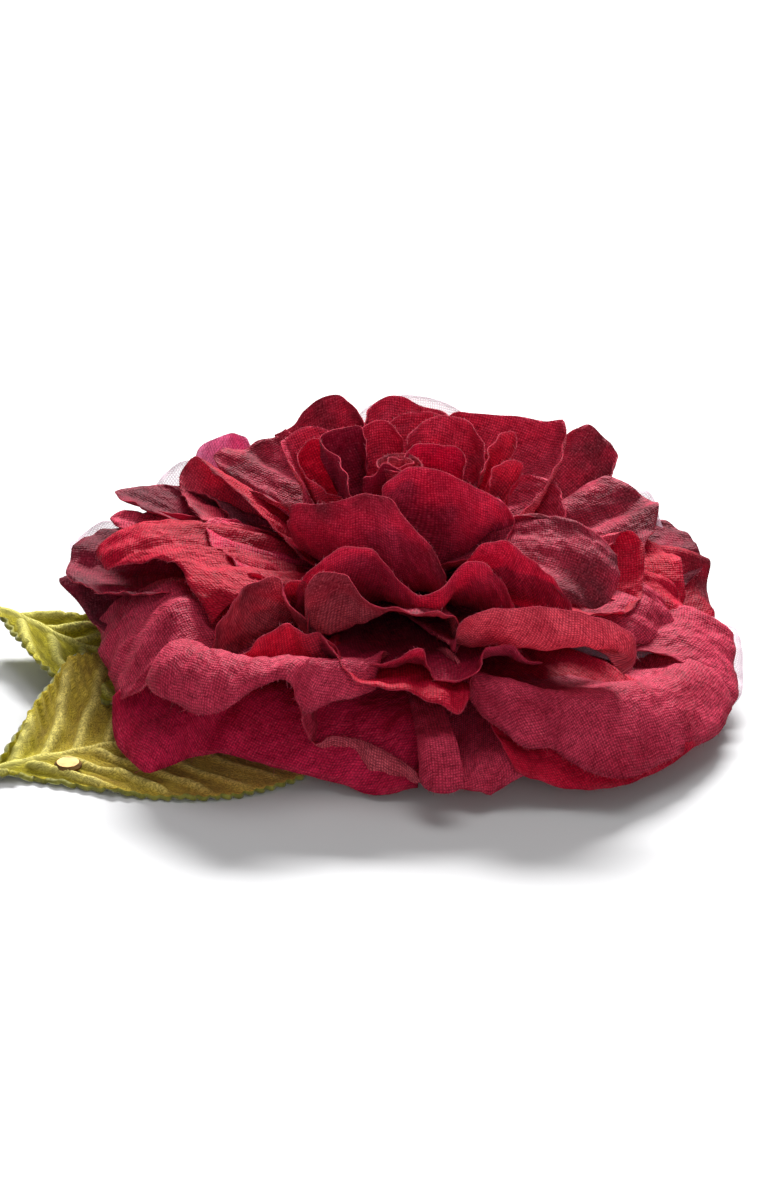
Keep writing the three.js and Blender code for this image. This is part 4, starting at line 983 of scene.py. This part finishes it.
def make_leaf(name, leaf, velvet_finish, lining, glue):
    """One leaf, with velvet above, lining below and a line of glue round its cut edge."""
    grid, marks = leaf_sheet(leaf)
    mesh = sheet_mesh(name + "_velvet", grid, marks)
    piece = add_object(name + "_velvet", mesh, lining, velvet_finish, glue)
    thicken(piece, LEAF_THICKNESS)
    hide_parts(name)
    declare_cloth(piece)


# ---- Spring ----
def make_spring(finish):
    """The torsion spring: a coil round the hinge pin, with a leg along each tail of the clip."""
    wire = 0.35
    turns = 5
    steps = 20
    low, high = box_of("clip_spring")
    pivot = sum(box_of("clip_pin")) / 2
    radius = (high[2] - low[2]) / 2 - wire
    half = (high[1] - low[1]) / 2 - wire
    tail = high[0] - wire
    points = [(tail, -half, pivot[2] - radius)]
    for k in range(turns * steps + steps // 2 + 1):
        angle = -math.pi / 2 - 2 * math.pi * k / steps
        y = -half + 2 * half * k / (turns * steps + steps // 2)
        points.append((pivot[0] + radius * math.cos(angle), y, pivot[2] + radius * math.sin(angle)))
    points.append((tail, half, pivot[2] + radius))
    vertices, faces = thread_tube(points, wire, sides=8, end=1)
    piece = add_object("spring_wire", new_mesh("spring_wire", vertices, faces), finish)
    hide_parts("clip_spring")
    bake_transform(piece)


# ---- Build ----
KEY_STEP = 3.7  # keeps each petal's noise apart from the next one's

petal_grids = []
for number, (petal_name, shape) in enumerate(PETALS.items()):
    petal_cloth = make_petal(petal_name, shape, KEY_STEP * number)
    if shape["silk"] != "organza":
        petal_grids.append(petal_cloth)
silk_grids = [make_bud_roll(), *petal_grids]
RED_THREAD = fibrous("thread_red", rgb(120, 16, 38), rgb(220, 96, 116), 3000.0, 0.02)
make_fraying("petal_fraying", silk_grids, RED_THREAD, 0.45, (0.2, 0.6), 0.035)

VELVET = velvet("leaf_velvet_lime")
LINING = fibrous("leaf_lining", rgb(150, 152, 70), rgb(196, 198, 120), 900.0, 0.1)
GLUE = fibrous("leaf_glue_line", rgb(84, 84, 30), rgb(140, 136, 60), 1500.0, 0.1)
for leaf_name, leaf_shape in LEAVES.items():
    make_leaf(leaf_name, leaf_shape, VELVET, LINING, GLUE)

STEEL = metal("nickel_plated_steel", rgb(190, 190, 193), rgb(214, 214, 217), 0.2, 900)
BRASS = metal("antique_brass", rgb(80, 58, 30), rgb(150, 116, 68), 0.42, 60)
TAPE = fibrous("stem_tape", rgb(52, 66, 24), rgb(96, 112, 50), 1800.0, 0.08)
FELT = fibrous("wool_felt", rgb(58, 12, 22), rgb(98, 26, 38), 1500.0, 0.15, 0.4)
NET = fibrous("buckram_net", rgb(170, 158, 142), rgb(222, 214, 202), 1200.0, 0.1)
NODE_FINISHES = {
    "clip_upper_arm": STEEL, "clip_lower_arm": STEEL, "clip_pin": STEEL,
    "leaf_stud": BRASS, "lower_leaf_stem": TAPE, "upper_leaf_stem": TAPE,
    "felt_backing": FELT, "buckram_disc": NET, "petal_core": NET,
}
make_spring(STEEL)
for node_name, finish in NODE_FINISHES.items():
    node_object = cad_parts[node_name]
    node_object.data.materials.clear()
    node_object.data.materials.append(finish)


# ---- Stage, light and camera ----
def add_floor():
    paper = Finish("white_paper")
    skin = paper.node("BsdfPrincipled", {"Base Color": rgb(190, 190, 191), "Roughness": 0.9,
                                         "Specular IOR Level": 0.1})
    size = 4.0
    mesh = bpy.data.meshes.new("floor")
    mesh.from_pydata([(-size, -size, 0), (size, -size, 0), (size, size, 0), (-size, size, 0)], [],
                     [(0, 1, 2, 3)])
    floor = add_object("floor", mesh, paper.show(skin))
    floor.location.z = cad_box[0].z - 0.0001


def add_area_light(name, spot, aim, size, power):
    lamp = bpy.data.lights.new(name, "AREA")
    lamp.shape = "RECTANGLE"
    lamp.size, lamp.size_y = size
    lamp.energy = power
    light = bpy.data.objects.new(name, lamp)
    bpy.context.scene.collection.objects.link(light)
    light.location = Vector(spot)
    light.rotation_euler = (Vector(aim) - Vector(spot)).to_track_quat("-Z", "Y").to_euler()


def add_camera():
    elevation = math.radians(VIEW_ELEVATION)
    lens = bpy.data.cameras.new("camera")
    lens.lens = LENS
    lens.sensor_width = SENSOR
    lens.clip_start = 0.01
    camera = bpy.data.objects.new("camera", lens)
    bpy.context.scene.collection.objects.link(camera)
    back = Vector((0, -math.cos(elevation), math.sin(elevation)))
    camera.location = (Vector(VIEW_TARGET) + back * VIEW_DISTANCE) * MM
    camera.rotation_euler = (-back).to_track_quat("-Z", "Y").to_euler()
    bpy.context.scene.camera = camera


def add_world(strength):
    world = bpy.data.worlds.new("studio")
    world.use_nodes = True
    background = world.node_tree.nodes["Background"]
    background.inputs["Color"].default_value = (1, 1, 1, 1)
    background.inputs["Strength"].default_value = strength
    bpy.context.scene.world = world


middle = (0, 0, 0.02)
add_floor()
add_world(0.28)
add_area_light("back_softbox", (0.1, 0.85, 0.72), middle, (0.6, 0.17), 37)
add_area_light("top_softbox", (0.1, 0.1, 0.9), middle, (0.6, 0.5), 3.4)
add_area_light("front_softbox", (0.1, -0.8, 0.3), middle, (0.7, 0.4), 2.0)
add_camera()
bpy.context.scene.view_settings.view_transform = "Standard"
